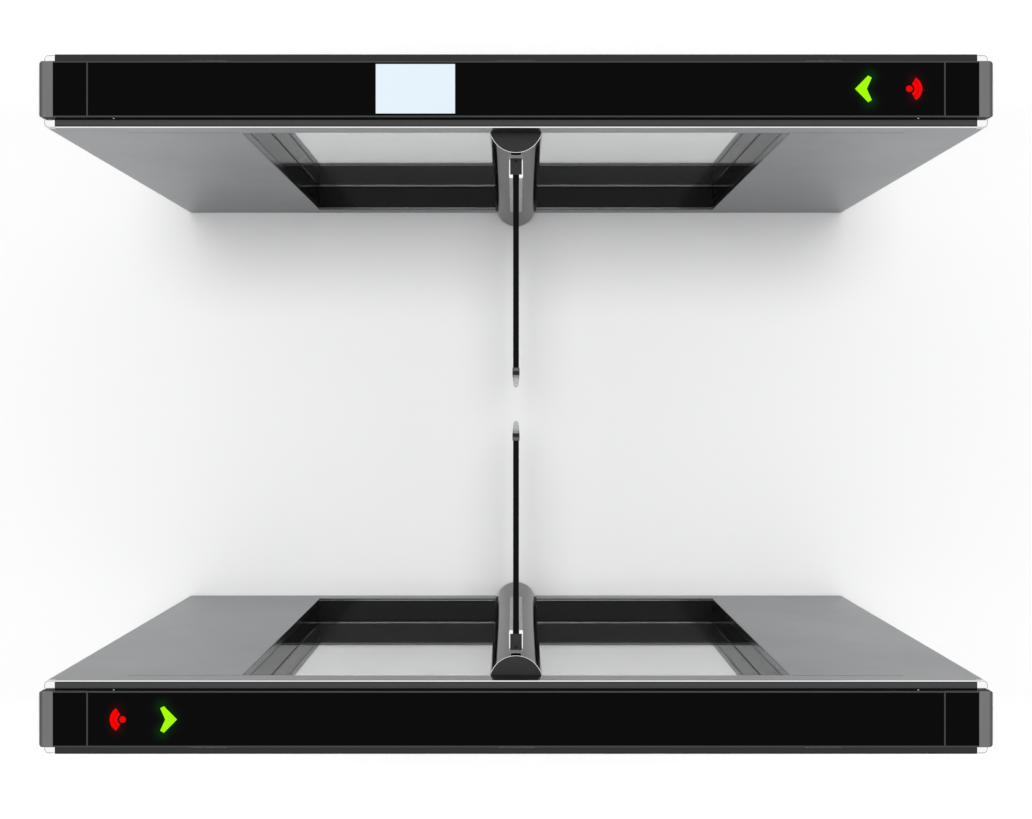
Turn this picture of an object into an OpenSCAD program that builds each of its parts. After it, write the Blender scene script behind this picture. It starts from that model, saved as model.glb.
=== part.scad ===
// Speed gate: two slim cabinets with a walking lane between them.
// Each cabinet carries a turning column with a glass wing that closes half of the lane,
// and a hinged service lid of black glass.
// X runs along the passage, Y across the lane, Z up. The origin is on the floor at the
// centre of the lane. All sizes are in millimetres.

/* [Lane and cabinet] */
// Clear width of the lane between the two cabinets
lane_w = 900; // [860:10:1000]
// Length of each cabinet body along the passage
body_l = 1540; // [1500:10:1700]
// Thickness of each cabinet across the lane
body_w = 120; // [116:1:150]
// Height of the cabinet body up to its rim
body_h = 988; // [975:1:1050]
// Thickness of the steel sheet
sheet_t = 2; // [1.5:0.1:2.4]
// Outer radius of the upright corners
corner_r = 8; // [5:0.5:12]
// How far the side sheets wrap round onto the end faces
wrap_w = 20; // [16:1:26]
// Width of the folded bright edge along the rim on the lane side
rim_edge_w = 4; // [3:0.5:6]
// Width of the folded bright edge along the rim on the outer side
outer_edge_w = 2.4; // [2.2:0.1:6]
// Length of the polished corner caps along the passage
cap_l = 19; // [16:1:24]
// Height of the polished corner caps
cap_h = 10; // [8:1:14]

/* [Window recess] */
// Room in the window beyond the tip of a wing that is folded open
fold_room = 28; // [10:1:60]
// Height of the skirting below the window
skirt_h = 49; // [42:1:70]
// Height of the beam above the window
beam_h = 42; // [40:1:60]
// Depth of the folded window edges
jamb_fold = 14.5; // [13:0.5:20]
// Depth of the bright ledge on top of the skirting
skirt_ledge = 5; // [4:0.5:8]
// Shadow gap between the recess's end walls and the outer sheet
jamb_gap = 5; // [0.3:0.1:8]
// Distance of the pressed seam line beside the window head from the end of the body
seam_line_in = 127; // [60:1:200]
// Thickness of the fixed glass panes
pane_t = 12; // [8:1:15]
// Height of the profiles that hold the panes
pane_grip = 8; // [6:0.5:12]

/* [Base] */
// Thickness of the base plate
base_t = 4; // [3:0.5:6]
// Radius of the floor anchor holes
anchor_r = 7; // [5:0.5:9]
// Distance of the anchor holes from the ends of the body
anchor_in = 130; // [60:5:180]
// Distance between anchor holes across the cabinet
anchor_span_y = 60; // [50:2:80]
// Radius of the cable entry holes
cable_r = 20; // [12:1:25]
// Distance of the cable entry holes from the ends of the body
cable_in = 220; // [200:5:260]

/* [Lid] */
// Length of the fixed piece at each end of the hinged lid
fixed_l = 56.6; // [40:0.2:80]
// Distance of the lid's long edges from the faces of the cabinet
lid_side = 14.5; // [13:0.5:16]
// Height of the lid's top above the rim
lid_rise = 12; // [11.5:0.5:15]
// Thickness of the lid frame with its glass
lid_t = 5.7; // [5:0.1:6.5]
// Thickness of the lid glass
lid_glass_t = 4; // [3:0.1:4.2]
// Width of the lid frame that shows along the glass
lid_lip = 2.5; // [2:0.1:4]
// How far the rounded end caps stand out past the body
end_over = 6.5; // [6:0.5:12]
// Depth of the end caps below the top of the lid
end_drop = 33; // [28:1:45]
// Length of the end caps on top of the rim
end_seat = 20; // [17:1:24]
// Radius of the rolled edge of the end caps
end_roll_r = 12; // [8:1:14]
// Radius of the end caps' corners seen from above
end_plan_r = 9; // [5:1:12]

/* [Lid fittings] */
// Length of the display
display_l = 129; // [100:1:180]
// Width of the glass that shows along the long sides of the display
display_side = 2.7; // [2:0.1:10]
// Distance of the display from the lid's centre
display_x = 163; // [130:1:260]
// Length of the green arrow
arrow_l = 27; // [20:1:34]
// Width of the green arrow
arrow_w = 43; // [32:1:50]
// Distance of the arrow's tip from the dot of the contactless symbol
arrow_in = 88; // [60:1:160]
// Distance of the symbol's dot from the lid's end
reader_in = 55.9; // [30:0.1:70]
// Radius of the symbol's dot
dot_r = 5.2; // [4:0.1:6]
// Outer radius of the symbol's outer wave
wave_r = 20.8; // [18:0.1:24]
// Radius of the beam sensors
sensor_r = 2; // [1.5:0.1:2.1]
// Distance of the beam sensors from the lid's ends
sensor_in = 38.9; // [20:0.1:80]

/* [Column] */
// Outer radius of the turning column
tube_r = 45; // [40:1:50]
// Wall of the column tube
tube_wall = 2.5; // [2:0.1:4]
// Distance of the column's axis behind the cabinet's lane face
axis_in = 12.5; // [12:0.5:16]
// Clearance between the column and the skirting round it
tube_gap = 3; // [2:0.5:6]
// Height of the collar on top of the column
collar_h = 28; // [26:1:40]
// Width of the collar's bright top rim
collar_rim_w = 1.2; // [1:0.1:2]
// Width of the notch in the collar
notch_w = 17; // [12:1:20]
// Radius of the top pivot pin
pin_r = 4; // [3:0.5:4.5]
// Radius of the drive shaft
shaft_r = 7; // [5:0.5:9]
// Room round the drive motor inside the column tube
motor_gap = 7.5; // [5:0.5:12]
// Height of the drive motor
motor_h = 190; // [150:10:260]

/* [Wing] */
// Gap between the tips of the two closed wings
tip_gap = 71; // [40:1:120]
// Distance of the wing's top below the collar of the column
wing_drop = 11; // [5:1:40]
// Height of the wing glass
wing_h = 600; // [500:10:700]
// Thickness of the wing glass
wing_t = 10; // [8:0.5:12]
// Radius of the wing glass's outer corners
wing_corner_r = 6; // [3:1:20]
// Length of the clamp that holds the glass
clamp_h = 400; // [300:10:480]
// Width of the clamp
clamp_w = 23; // [20:1:26]
// How far the clamp stands out from the column
clamp_out = 36; // [32:1:45]
// Wall of the clamp
clamp_wall = 1.6; // [1.5:0.1:2.5]
// Depth of the clamp's front lips
lip_d = 6; // [4:0.5:8]
// Number of clamp screws on each side
screw_rows = 4; // [3:1:5]
// Length of the clear bumper at the wing's tip
bumper_l = 15; // [10:1:20]
// Length of the profile that holds the bumper
tip_l = 11; // [8:1:16]

/* [Fits] */
// Radial running clearance of the pins and shafts
run_gap = 0.05; // [0.03:0.01:0.08]
// Clearance between pieces that are fixed side by side
seam_gap = 0.3; // [0.2:0.05:0.4]
// Clearance of light guides in the glass
inlay_gap = 0.15; // [0.1:0.05:0.2]

/* [Hidden] */
$fn = 96;

// How far a cut runs past what it cuts, and how far joined shapes run into each other
eps = 1;
fuse = 0.1;

// Reach of a wing from the column's axis, and the window that it folds into
wing_reach = lane_w / 2 + axis_in - tip_gap / 2;
window_l = 2 * (wing_reach + fold_room);

// Cabinet heights
window_top = body_h - beam_h;
beam_floor = window_top + sheet_t;
deck_top = skirt_h - sheet_t;
lid_top = body_h + lid_rise;
lid_bottom = lid_top - lid_t;
seat_z = lid_bottom - seam_gap;
trim_t = 4;
ledge_z = body_h - trim_t - sheet_t;

// Places along the cabinet, from its middle
strip_l = body_l - 2 * cap_l;
end_x = body_l / 2 + end_over;
cap_x = body_l / 2 - end_seat + 2 * seam_gap;
lid_l = 2 * (cap_x - fixed_l - 2 * seam_gap);
wall_x = window_l / 2 + sheet_t;
reader_x = lid_l / 2 - reader_in;
arrow_x = reader_x - arrow_in;
sensor_x = lid_l / 2 - sensor_in;

// Places across the cabinet, from its lane face
lid_w = body_w - 2 * lid_side;
lid_shift = 0.5;
lid_in = lid_side + lid_shift;
lid_out = lid_in + lid_w;
shadow_w = 2.5;
rail_y = lid_in + shadow_w;
rib_gap = 8.5;
rib_y = rail_y + sheet_t + rib_gap;
rib_drop = 3;
rib_z = body_h - rib_drop;
icon_shift = 0.5;
icon_y = lid_in + lid_w / 2 + icon_shift;

// Fixed panes
pane_tuck = 13;
pane_foot = 2;
pane_head = 1;
pane_z0 = deck_top + pane_foot;
pane_z1 = beam_floor - pane_head;
pane_in = tube_r - pane_tuck;
pane_out = window_l / 2 - seam_gap;

// Fittings of the lid
glass_drop = 0.1;
display_w = lid_w - 2 * lid_lip - 2 * display_side;
display_rim = 9.5;
display_rear_l = display_l - 2 * display_rim;
display_rear_w = 54;
display_rear_h = 14;
wave_w = 5.8;
wave_step = 6.6;
wave_angle = 60;
reader_l = 80;
reader_h = 10;
sensor_drop = 1;
sensor_z = seat_z - sensor_r - sensor_drop;

// Column
foot_gap = 1;
tube_bottom = base_t + foot_gap;
head_gap = 2;
cap_top = window_top - head_gap;
tube_top = cap_top - collar_h;
tube_in = tube_r - tube_wall;
rim_in = tube_r - collar_rim_w;
cap_seat = 6;

// Drive and bearings
motor_r = tube_in - motor_gap;
motor_top = base_t + motor_h;
nose_r = 20;
nose_h = 14;
nose_top = motor_top + nose_h;
hub_gap = 40;
hub_z = motor_top + hub_gap;
hub_t = 20;
bearing_h = 5;
low_bearing_r = shaft_r + 6;
top_bearing_r = 2 * pin_r;
block_w = 32;
block_h = 12;
block_wall = 10;
block_d = axis_in + top_bearing_r + block_wall;
pin_top = beam_floor + sheet_t + block_h - foot_gap;
pin_hole_r = pin_r + 2;

// Wing places, measured from the column's axis
wing_top = tube_top - wing_drop;
clamp_front = tube_r + clamp_out;
heel_t = 2.7;
clamp_back = tube_r + heel_t;
glass_tuck = 8.3;
glass_back = clamp_back + glass_tuck;
glass_end = wing_reach - bumper_l;
clamp_bottom = wing_top - clamp_h;
clamp_rise = 2.5;
clamp_top = wing_top + clamp_rise;
wing_bottom = wing_top - wing_h;
tip_wall = 0.8;

// Clamp screws
screw_u = (glass_back + clamp_front - lip_d) / 2;
screw_r = 2.4;
screw_head_r = 4.2;
screw_head_t = 1.2;
top_screw_l = 12;
top_screw_u = (clamp_back + glass_back) / 2;

// Lid hinges, in the room between the rim and the lid
hinge_foot = 0.2;
hinge_head = 0.9;
hinge_r = (lid_bottom - body_h - hinge_foot - hinge_head) / 2;
hinge_pin_r = 1.2;
hinge_y = lid_out;
hinge_z = body_h + hinge_foot + hinge_r;
hinge_l = 60;
knuckle_l = 20;
hinge_in = 193.4;
hinge_x = lid_l / 2 - hinge_in;
hinge_places = [-hinge_x, 0, hinge_x];

// Places a cabinet piece beside the lane. Its own y starts at the lane face.
module on_left() {
    translate([0, lane_w / 2, 0])
        children();
}

// The other cabinet is the same one turned half round.
module on_right() {
    rotate([0, 0, 180])
        on_left()
            children();
}

module on_both() {
    on_left()
        children();
    on_right()
        children();
}

// A piece and its mirror image at the other end of the cabinet
module both_ends() {
    children();
    mirror([1, 0, 0])
        children();
}

// A piece and its mirror image at the other face of the cabinet
module both_faces() {
    children();
    other_face()
        children();
}

module other_face() {
    translate([0, body_w, 0])
        mirror([0, 1, 0])
            children();
}

// The column's axis in the cabinet's own frame
module at_axis() {
    translate([0, axis_in, 0])
        children();
}

// Rectangle with round corners, centred
module round_rect(l, w, r) {
    square([l - 2 * r, w], center = true);
    square([l, w - 2 * r], center = true);
    for (x = [-1, 1], y = [-1, 1])
        translate([x * (l / 2 - r), y * (w / 2 - r)])
            circle(r);
}

// Plan of the cabinet body, drawn in by an inset
module body_plan(inset = 0) {
    translate([0, body_w / 2])
        round_rect(body_l - 2 * inset, body_w - 2 * inset, corner_r - inset);
}

module ring(r_out, r_in, h) {
    difference() {
        cylinder(r = r_out, h = h);
        translate([0, 0, -eps])
            cylinder(r = r_in, h = h + 2 * eps);
    }
}

// Steel sheet of one long face: it wraps round both corners and folds in round the window.
// At the window's foot the lane's sheet has a ledge, and the outer one ends under the deck.
module face_panel(has_column, edge_w) {
    groove_d = 0.5;
    groove_h = 1.5;
    foot_z = has_column ? skirt_h : deck_top - sheet_t;
    difference() {
        union() {
            linear_extrude(body_h - cap_h)
                intersection() {
                    difference() {
                        body_plan();
                        body_plan(sheet_t);
                    }
                    translate([-body_l, 0])
                        square([2 * body_l, wrap_w]);
                }
            translate([-strip_l / 2, 0, body_h - cap_h])
                cube([strip_l, sheet_t, cap_h]);
            translate([-strip_l / 2, 0, body_h - sheet_t])
                cube([strip_l, edge_w, sheet_t]);
            both_ends()
                translate([window_l / 2, 0, deck_top])
                    cube([sheet_t, jamb_fold, window_top - deck_top + sheet_t]);
            translate([-window_l / 2, 0, window_top])
                cube([window_l, jamb_fold, sheet_t]);
            if (has_column)
                translate([-window_l / 2, 0, deck_top])
                    cube([window_l, skirt_ledge, sheet_t]);
        }
        translate([-window_l / 2, -eps, foot_z])
            cube([window_l, wrap_w, window_top - foot_z]);
        both_ends()
            translate([wall_x, -eps, beam_floor - groove_h])
                cube([body_l / 2 - seam_line_in - wall_x, eps + groove_d, groove_h]);
        if (has_column) {
            at_axis()
                translate([0, 0, -eps])
                    cylinder(r = tube_r + tube_gap, h = skirt_h + 2 * eps);
            at_axis()
                translate([0, 0, window_top - eps])
                    cylinder(r = pin_hole_r, h = sheet_t + 2 * eps);
        }
    }
}

module lane_panel() {
    color("silver")
        face_panel(true, rim_edge_w);
}

module outer_panel() {
    color("silver")
        other_face()
            face_panel(false, outer_edge_w);
}

// Flat sheets that close the two ends of a cabinet, with a fold under the end cap
module end_panels() {
    fold_w = 12;
    gap_y = wrap_w + seam_gap;
    color("silver")
        both_ends()
            translate([body_l / 2, gap_y, 0]) {
                translate([-sheet_t, 0, 0])
                    cube([sheet_t, body_w - 2 * gap_y, body_h]);
                translate([-fold_w, 0, body_h - sheet_t])
                    cube([fold_w, body_w - 2 * gap_y, sheet_t]);
            }
}

// Polished blocks that finish the four top corners
module corner_caps() {
    color("whitesmoke")
        both_faces()
            both_ends()
                translate([0, 0, body_h - cap_h])
                    linear_extrude(cap_h)
                        intersection() {
                            body_plan();
                            translate([body_l / 2 - cap_l + seam_gap, 0])
                                square([cap_l, wrap_w]);
                        }
}

// End walls of the window recess, between the folds of the two faces
module jamb_panels() {
    jamb_w = body_w - 2 * jamb_fold - seam_gap - jamb_gap;
    color("gray")
        both_ends()
            translate([window_l / 2, jamb_fold + seam_gap, base_t])
                cube([sheet_t, jamb_w, beam_floor - base_t]);
}

// Black deck in the recess, on two lengthwise webs, cut away round the column.
// It runs out over the outer sheet.
module plinth_decks() {
    deck_l = window_l - 2 * seam_gap;
    web_in = 30;
    web_clear = 10;
    web_l = deck_l / 2 - tube_r - tube_gap - web_clear;
    color([0.1, 0.1, 0.1])
        difference() {
            union() {
                translate([-deck_l / 2, sheet_t, deck_top - sheet_t])
                    cube([deck_l, body_w - sheet_t, sheet_t]);
                translate([-deck_l / 2, body_w - web_in, base_t])
                    cube([deck_l, sheet_t, deck_top - sheet_t - base_t]);
                both_ends()
                    translate([deck_l / 2 - web_l, web_in - sheet_t, base_t])
                        cube([web_l, sheet_t, deck_top - sheet_t - base_t]);
            }
            at_axis()
                translate([0, 0, base_t - eps])
                    cylinder(r = tube_r + tube_gap, h = deck_top);
        }
}

// Floor plate with anchor holes, cable entries and a round foot under the column
module base_plate() {
    foot_clear = 2;
    color("dimgray")
        difference() {
            linear_extrude(base_t)
                union() {
                    body_plan(sheet_t + seam_gap);
                    at_axis()
                        circle(tube_in - foot_clear);
                }
            for (x = [-1, 1], y = [-1, 1])
                translate([x * (body_l / 2 - anchor_in), body_w / 2 + y * anchor_span_y / 2, -eps])
                    cylinder(r = anchor_r, h = base_t + 2 * eps);
            both_ends()
                translate([body_l / 2 - cable_in, body_w / 2, -eps])
                    cylinder(r = cable_r, h = base_t + 2 * eps);
        }
}

// Lengthwise rail and rim ledge on one side of the beam
module beam_side() {
    inner_y = sheet_t + seam_gap;
    rail_l = strip_l - 2 * seam_gap;
    translate([-rail_l / 2, rail_y, beam_floor])
        cube([rail_l, sheet_t, seat_z - beam_floor]);
    translate([-rail_l / 2, inner_y, ledge_z])
        cube([rail_l, rail_y - inner_y, sheet_t]);
}

// Folded beam over the window. Its two rails carry the lid, and a block holds the top bearing.
module top_beam() {
    inner_y = sheet_t + seam_gap;
    floor_l = window_l + 4 * sheet_t;
    tie_h = 24;
    sill_x = strip_l / 2 - seam_gap - sheet_t;
    color("gainsboro")
        difference() {
            union() {
                translate([-floor_l / 2, inner_y, beam_floor])
                    cube([floor_l, body_w - 2 * inner_y, sheet_t]);
                beam_side();
                translate([0, body_w, 0])
                    mirror([0, 1, 0])
                        beam_side();
                for (x = [floor_l / 2 - sheet_t, sill_x])
                    both_ends()
                        translate([x, rail_y, beam_floor])
                            cube([sheet_t, body_w - 2 * rail_y, tie_h]);
                translate([-block_w / 2, inner_y, beam_floor])
                    cube([block_w, block_d - inner_y, sheet_t + block_h]);
            }
            at_axis()
                translate([0, 0, beam_floor - eps])
                    cylinder(r = pin_hole_r, h = block_h + sheet_t);
            at_axis()
                translate([0, 0, beam_floor + sheet_t])
                    cylinder(r = top_bearing_r + run_gap, h = block_h + eps);
            both_ends()
                translate([sensor_x, rail_y - eps, sensor_z])
                    rotate([-90, 0, 0])
                        cylinder(r = sensor_r + run_gap, h = sheet_t + 2 * eps);
        }
}

// Dark strip beside the rim's folded edge
module rim_bar(edge_w) {
    bar_l = strip_l - 2 * seam_gap;
    bar_y = edge_w + seam_gap;
    translate([-bar_l / 2, bar_y, ledge_z + sheet_t])
        cube([bar_l, rail_y - seam_gap - bar_y, body_h - ledge_z - sheet_t]);
}

// Dark strips that lie along the rim on both sides of the lid
module rim_trims() {
    color([0.2, 0.2, 0.21]) {
        rim_bar(rim_edge_w);
        other_face()
            rim_bar(outer_edge_w);
    }
}

// Fixed glass on both sides of the column, in the middle plane of the cabinet
module centre_panes() {
    color([0.7, 0.85, 0.85, 0.35])
        both_ends()
            translate([pane_in, (body_w - pane_t) / 2, pane_z0])
                cube([pane_out - pane_in, pane_t, pane_z1 - pane_z0]);
}

// Black U profiles at the foot, the head and the free edge of each pane
module pane_profiles() {
    wall = 1.2;
    slot_w = pane_t + 2 * inlay_gap;
    out_w = slot_w + 2 * wall;
    low_l = pane_out - pane_in;
    color([0.12, 0.12, 0.12])
        both_ends()
            translate([0, body_w / 2, 0])
                difference() {
                    union() {
                        translate([pane_in, -out_w / 2, deck_top])
                            cube([low_l, out_w, pane_grip]);
                        translate([pane_in, -out_w / 2, beam_floor - pane_grip])
                            cube([low_l, out_w, pane_grip]);
                        translate([pane_in - inlay_gap - wall, -out_w / 2, deck_top])
                            cube([pane_grip, out_w, beam_floor - deck_top]);
                    }
                    translate([pane_in - inlay_gap, -slot_w / 2, pane_z0 - inlay_gap])
                        cube([low_l + eps, slot_w, pane_z1 - pane_z0 + 2 * inlay_gap]);
                }
}

// Cross-section of the lid frame: a shallow tray for the glass with two stiffening ribs
module tray_section(bottom) {
    glass_w = lid_w - 2 * lid_lip;
    difference() {
        translate([lid_in, bottom])
            square([lid_w, lid_top - bottom]);
        translate([lid_in + lid_lip, lid_top - lid_glass_t])
            square([glass_w, lid_glass_t + eps]);
    }
    for (y = [rib_y, lid_out + lid_in - rib_y - sheet_t])
        translate([y, rib_z])
            square([sheet_t, bottom - rib_z + fuse]);
}

// Runs a cross-section drawn in Y and Z along X
module along_x(x0, x1) {
    translate([x0, 0, 0])
        rotate([90, 0, 90])
            linear_extrude(x1 - x0)
                children();
}

// Fixed trays beyond the ends of the hinged lid, seated on the beam's rails
module end_frames() {
    x0 = lid_l / 2 + seam_gap;
    x1 = cap_x - seam_gap;
    color([0.22, 0.22, 0.23])
        both_ends() {
            along_x(x0 + lid_lip, x1)
                tray_section(seat_z);
            translate([x0, lid_in, seat_z])
                cube([lid_lip, lid_w, lid_top - seat_z]);
        }
}

module end_glasses() {
    x0 = lid_l / 2 + seam_gap + lid_lip + inlay_gap;
    x1 = cap_x - seam_gap;
    glass_w = lid_w - 2 * lid_lip - 2 * inlay_gap;
    color([0.05, 0.05, 0.05])
        both_ends()
            translate([x0, lid_in + lid_lip + inlay_gap, lid_top - lid_glass_t])
                cube([x1 - x0, glass_w, lid_glass_t - glass_drop]);
}

// Side view of an end cap, with its rolled outer edge
module rolled_edge(x0, z0) {
    translate([x0, z0])
        square([end_x - end_roll_r - x0, lid_top - z0]);
    translate([x0, z0])
        square([end_x - x0, lid_top - end_roll_r - z0]);
    translate([end_x - end_roll_r, lid_top - end_roll_r])
        circle(end_roll_r);
}

// Rounded caps that roll over the ends of the body
module end_caps() {
    skirt_x = body_l / 2 + seam_gap;
    low_z = lid_top - end_drop;
    wall = 4;
    color("darkgray")
        both_ends()
            difference() {
                intersection() {
                    translate([0, lid_out + eps, 0])
                        rotate([90, 0, 0])
                            linear_extrude(lid_w + 2 * eps)
                                difference() {
                                    rolled_edge(cap_x, low_z);
                                    translate([cap_x - eps, low_z - eps])
                                        square([skirt_x - cap_x + eps, body_h - low_z + eps]);
                                }
                    translate([0, (lid_in + lid_out) / 2, low_z - eps])
                        linear_extrude(end_drop + 2 * eps)
                            round_rect(2 * end_x, lid_w, end_plan_r);
                }
                translate([cap_x + wall, lid_in + wall, body_h - eps])
                    cube([end_seat - 2 * wall, lid_w - 2 * wall, lid_rise - wall + eps]);
            }
}

// Main lid frame, with an opening for the display's housing
module lid_frame(has_display) {
    color([0.22, 0.22, 0.23])
        difference() {
            along_x(-lid_l / 2, lid_l / 2)
                tray_section(lid_bottom);
            if (has_display)
                translate([-display_x, icon_y, lid_bottom - eps])
                    linear_extrude(lid_t)
                        square([display_rear_l + 2 * seam_gap, display_rear_w + 2 * seam_gap],
                            center = true);
        }
}

// Chevron with blunt tails, its tip at the origin and pointing along -X
module arrow_shape(grow = 0) {
    tail = arrow_l * 0.22;
    notch = arrow_l * 0.7;
    drop = arrow_w * 0.08;
    polygon([
        [-grow * 1.4, 0],
        [arrow_l - tail - grow * 0.4, arrow_w / 2 + grow],
        [arrow_l + grow, arrow_w / 2 - drop + grow * 0.4],
        [notch + grow, 0],
        [arrow_l + grow, drop - arrow_w / 2 - grow * 0.4],
        [arrow_l - tail - grow * 0.4, -arrow_w / 2 - grow]
    ]);
}

// One wave of the contactless symbol, a band of a ring
module wave_shape(r, grow = 0) {
    reach = 2 * r;
    intersection() {
        difference() {
            circle(r + grow);
            circle(r - wave_w - grow);
        }
        polygon([
            [-2 * grow, 0],
            [reach * cos(wave_angle), reach * sin(wave_angle) + 2 * grow],
            [reach, reach],
            [reach, -reach],
            [reach * cos(wave_angle), -reach * sin(wave_angle) - 2 * grow]
        ]);
    }
}

module reader_shape(grow = 0) {
    circle(dot_r + grow);
    wave_shape(wave_r - wave_step, grow);
    wave_shape(wave_r, grow);
}

// Black glass of the lid, cut out for the lights and the display
module lid_glass(has_display) {
    glass_l = lid_l - 2 * inlay_gap;
    glass_w = lid_w - 2 * lid_lip - 2 * inlay_gap;
    color([0.05, 0.05, 0.05])
        translate([0, 0, lid_top - lid_glass_t])
            linear_extrude(lid_glass_t - glass_drop)
                difference() {
                    translate([-glass_l / 2, lid_in + lid_lip + inlay_gap])
                        square([glass_l, glass_w]);
                    translate([arrow_x, icon_y])
                        arrow_shape(inlay_gap);
                    translate([reader_x, icon_y])
                        reader_shape(inlay_gap);
                    if (has_display)
                        translate([-display_x, icon_y])
                            square([display_l + 2 * inlay_gap, display_w + 2 * inlay_gap],
                                center = true);
                }
}

module arrow_light() {
    color([0.55, 1, 0])
        translate([arrow_x, icon_y, lid_top - lid_glass_t])
            linear_extrude(lid_glass_t - glass_drop)
                arrow_shape();
}

module reader_light() {
    color("red")
        translate([reader_x, icon_y, lid_top - lid_glass_t])
            linear_extrude(lid_glass_t - glass_drop)
                reader_shape();
}

// Reader module under the lid, between the ribs
module card_reader() {
    side_gap = 2;
    edge_r = 4;
    reader_w = lid_w - 2 * (rib_y - lid_in + sheet_t + side_gap);
    color([0.15, 0.15, 0.16])
        translate([reader_x, (lid_in + lid_out) / 2, lid_bottom - reader_h])
            linear_extrude(reader_h)
                round_rect(reader_l, reader_w, edge_r);
}

// Display with its housing below the glass
module display() {
    color([0.9, 0.95, 1])
        translate([-display_x, icon_y, 0]) {
            translate([0, 0, lid_top - lid_glass_t])
                linear_extrude(lid_glass_t - glass_drop)
                    square([display_l, display_w], center = true);
            translate([0, 0, lid_top - lid_glass_t - display_rear_h])
                linear_extrude(display_rear_h)
                    square([display_rear_l, display_rear_w], center = true);
        }
}

// Moving leaves of the lid hinges, one knuckle each
module lid_hinges() {
    color("dimgray")
        for (x = hinge_places)
            translate([x, hinge_y, hinge_z])
                difference() {
                    union() {
                        rotate([0, 90, 0])
                            cylinder(r = hinge_r, h = knuckle_l - 2 * seam_gap, center = true);
                        translate([seam_gap - knuckle_l / 2, -hinge_r / 2, 0])
                            cube([knuckle_l - 2 * seam_gap, hinge_r / 2, lid_bottom - hinge_z]);
                    }
                    rotate([0, 90, 0])
                        cylinder(r = hinge_pin_r + run_gap, h = knuckle_l + eps, center = true);
                }
}

// Fixed leaves of the lid hinges with their pins
module hinge_pins() {
    web_l = (hinge_l - knuckle_l) / 2;
    rail_face = body_w - rail_y;
    color("dimgray")
        for (x = hinge_places)
            translate([x, hinge_y, hinge_z]) {
                rotate([0, 90, 0])
                    cylinder(r = hinge_pin_r, h = hinge_l, center = true);
                both_ends() {
                    translate([knuckle_l / 2, 0, 0])
                        rotate([0, 90, 0])
                            cylinder(r = hinge_r, h = web_l);
                    translate([knuckle_l / 2, rail_face - hinge_y, -hinge_r])
                        cube([web_l, hinge_y - rail_face, hinge_r]);
                }
            }
}

// Small sensors in the shadow gap, looking across the lane
module beam_sensors() {
    sensor_l = 10;
    tip_out = 1.3;
    nut_r = sensor_r + 1;
    nut_t = 3;
    color("lightgray")
        both_ends()
            translate([sensor_x, rail_y - tip_out, sensor_z])
                rotate([-90, 0, 0]) {
                    cylinder(r = sensor_r, h = sensor_l);
                    translate([0, 0, tip_out + sheet_t])
                        cylinder(r = nut_r, h = nut_t, $fn = 6);
                }
}

// Steel tube of the turning column
module column_tube() {
    color("silver")
        at_axis()
            translate([0, 0, tube_bottom])
                ring(tube_r, tube_in, tube_top - tube_bottom);
}

// Collar on the tube: spigot, seam groove, notch towards the lane and bright top rim
module collar() {
    spigot_h = 8;
    spigot_wall = 3;
    groove_h = 0.8;
    groove_d = 0.6;
    notch_top = 2;
    notch_foot = 6;
    color("silver")
        at_axis()
            difference() {
                union() {
                    translate([0, 0, tube_top - spigot_h])
                        cylinder(r = tube_in - inlay_gap, h = spigot_h + groove_h);
                    translate([0, 0, tube_top])
                        cylinder(r = tube_r - groove_d, h = groove_h);
                    translate([0, 0, tube_top + groove_h])
                        cylinder(r = tube_r, h = collar_h - groove_h);
                }
                translate([0, 0, tube_top - spigot_h - eps])
                    cylinder(r = tube_in - spigot_wall, h = spigot_h + collar_h + 2 * eps);
                translate([0, 0, cap_top - cap_seat])
                    cylinder(r = rim_in, h = cap_seat + eps);
                translate([-notch_w / 2, -tube_r - eps, tube_top + notch_foot])
                    cube([notch_w, tube_r / 2, collar_h - notch_foot - notch_top]);
            }
}

// Dark cap of the column with the top pivot pin
module column_cap() {
    rim_rise = 0.2;
    color([0.2, 0.2, 0.21])
        at_axis()
            translate([0, 0, cap_top - cap_seat]) {
                cylinder(r = rim_in - inlay_gap, h = cap_seat - rim_rise);
                cylinder(r = pin_r, h = pin_top - cap_top + cap_seat);
            }
}

// Fixed drive motor inside the foot of the column: flange, body and bearing nose
module motor() {
    flange_t = 8;
    flange_w = 3;
    shaft_clear = 0.5;
    color([0.3, 0.3, 0.32])
        at_axis()
            translate([0, 0, base_t])
                difference() {
                    union() {
                        cylinder(r = motor_r + flange_w, h = flange_t);
                        cylinder(r = motor_r, h = motor_h);
                        cylinder(r = nose_r, h = motor_h + nose_h);
                    }
                    translate([0, 0, motor_h / 2])
                        cylinder(r = shaft_r + shaft_clear, h = motor_h);
                    translate([0, 0, motor_h + nose_h - bearing_h])
                        cylinder(r = low_bearing_r + run_gap, h = bearing_h + eps);
                }
}

// Electromagnetic brake round the motor's nose
module brakes() {
    step_in = 1;
    brake_h = 22;
    color([0.45, 0.3, 0.15])
        at_axis()
            translate([0, 0, motor_top])
                ring(motor_r - step_in, nose_r + seam_gap, brake_h);
}

// Lower bearings in the motor noses and upper bearings in the beams
module bearings() {
    color("lightgray")
        at_axis() {
            translate([0, 0, nose_top - bearing_h])
                ring(low_bearing_r, shaft_r + run_gap, bearing_h);
            translate([0, 0, beam_floor + sheet_t])
                ring(top_bearing_r, pin_r + run_gap, bearing_h);
        }
}

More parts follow.
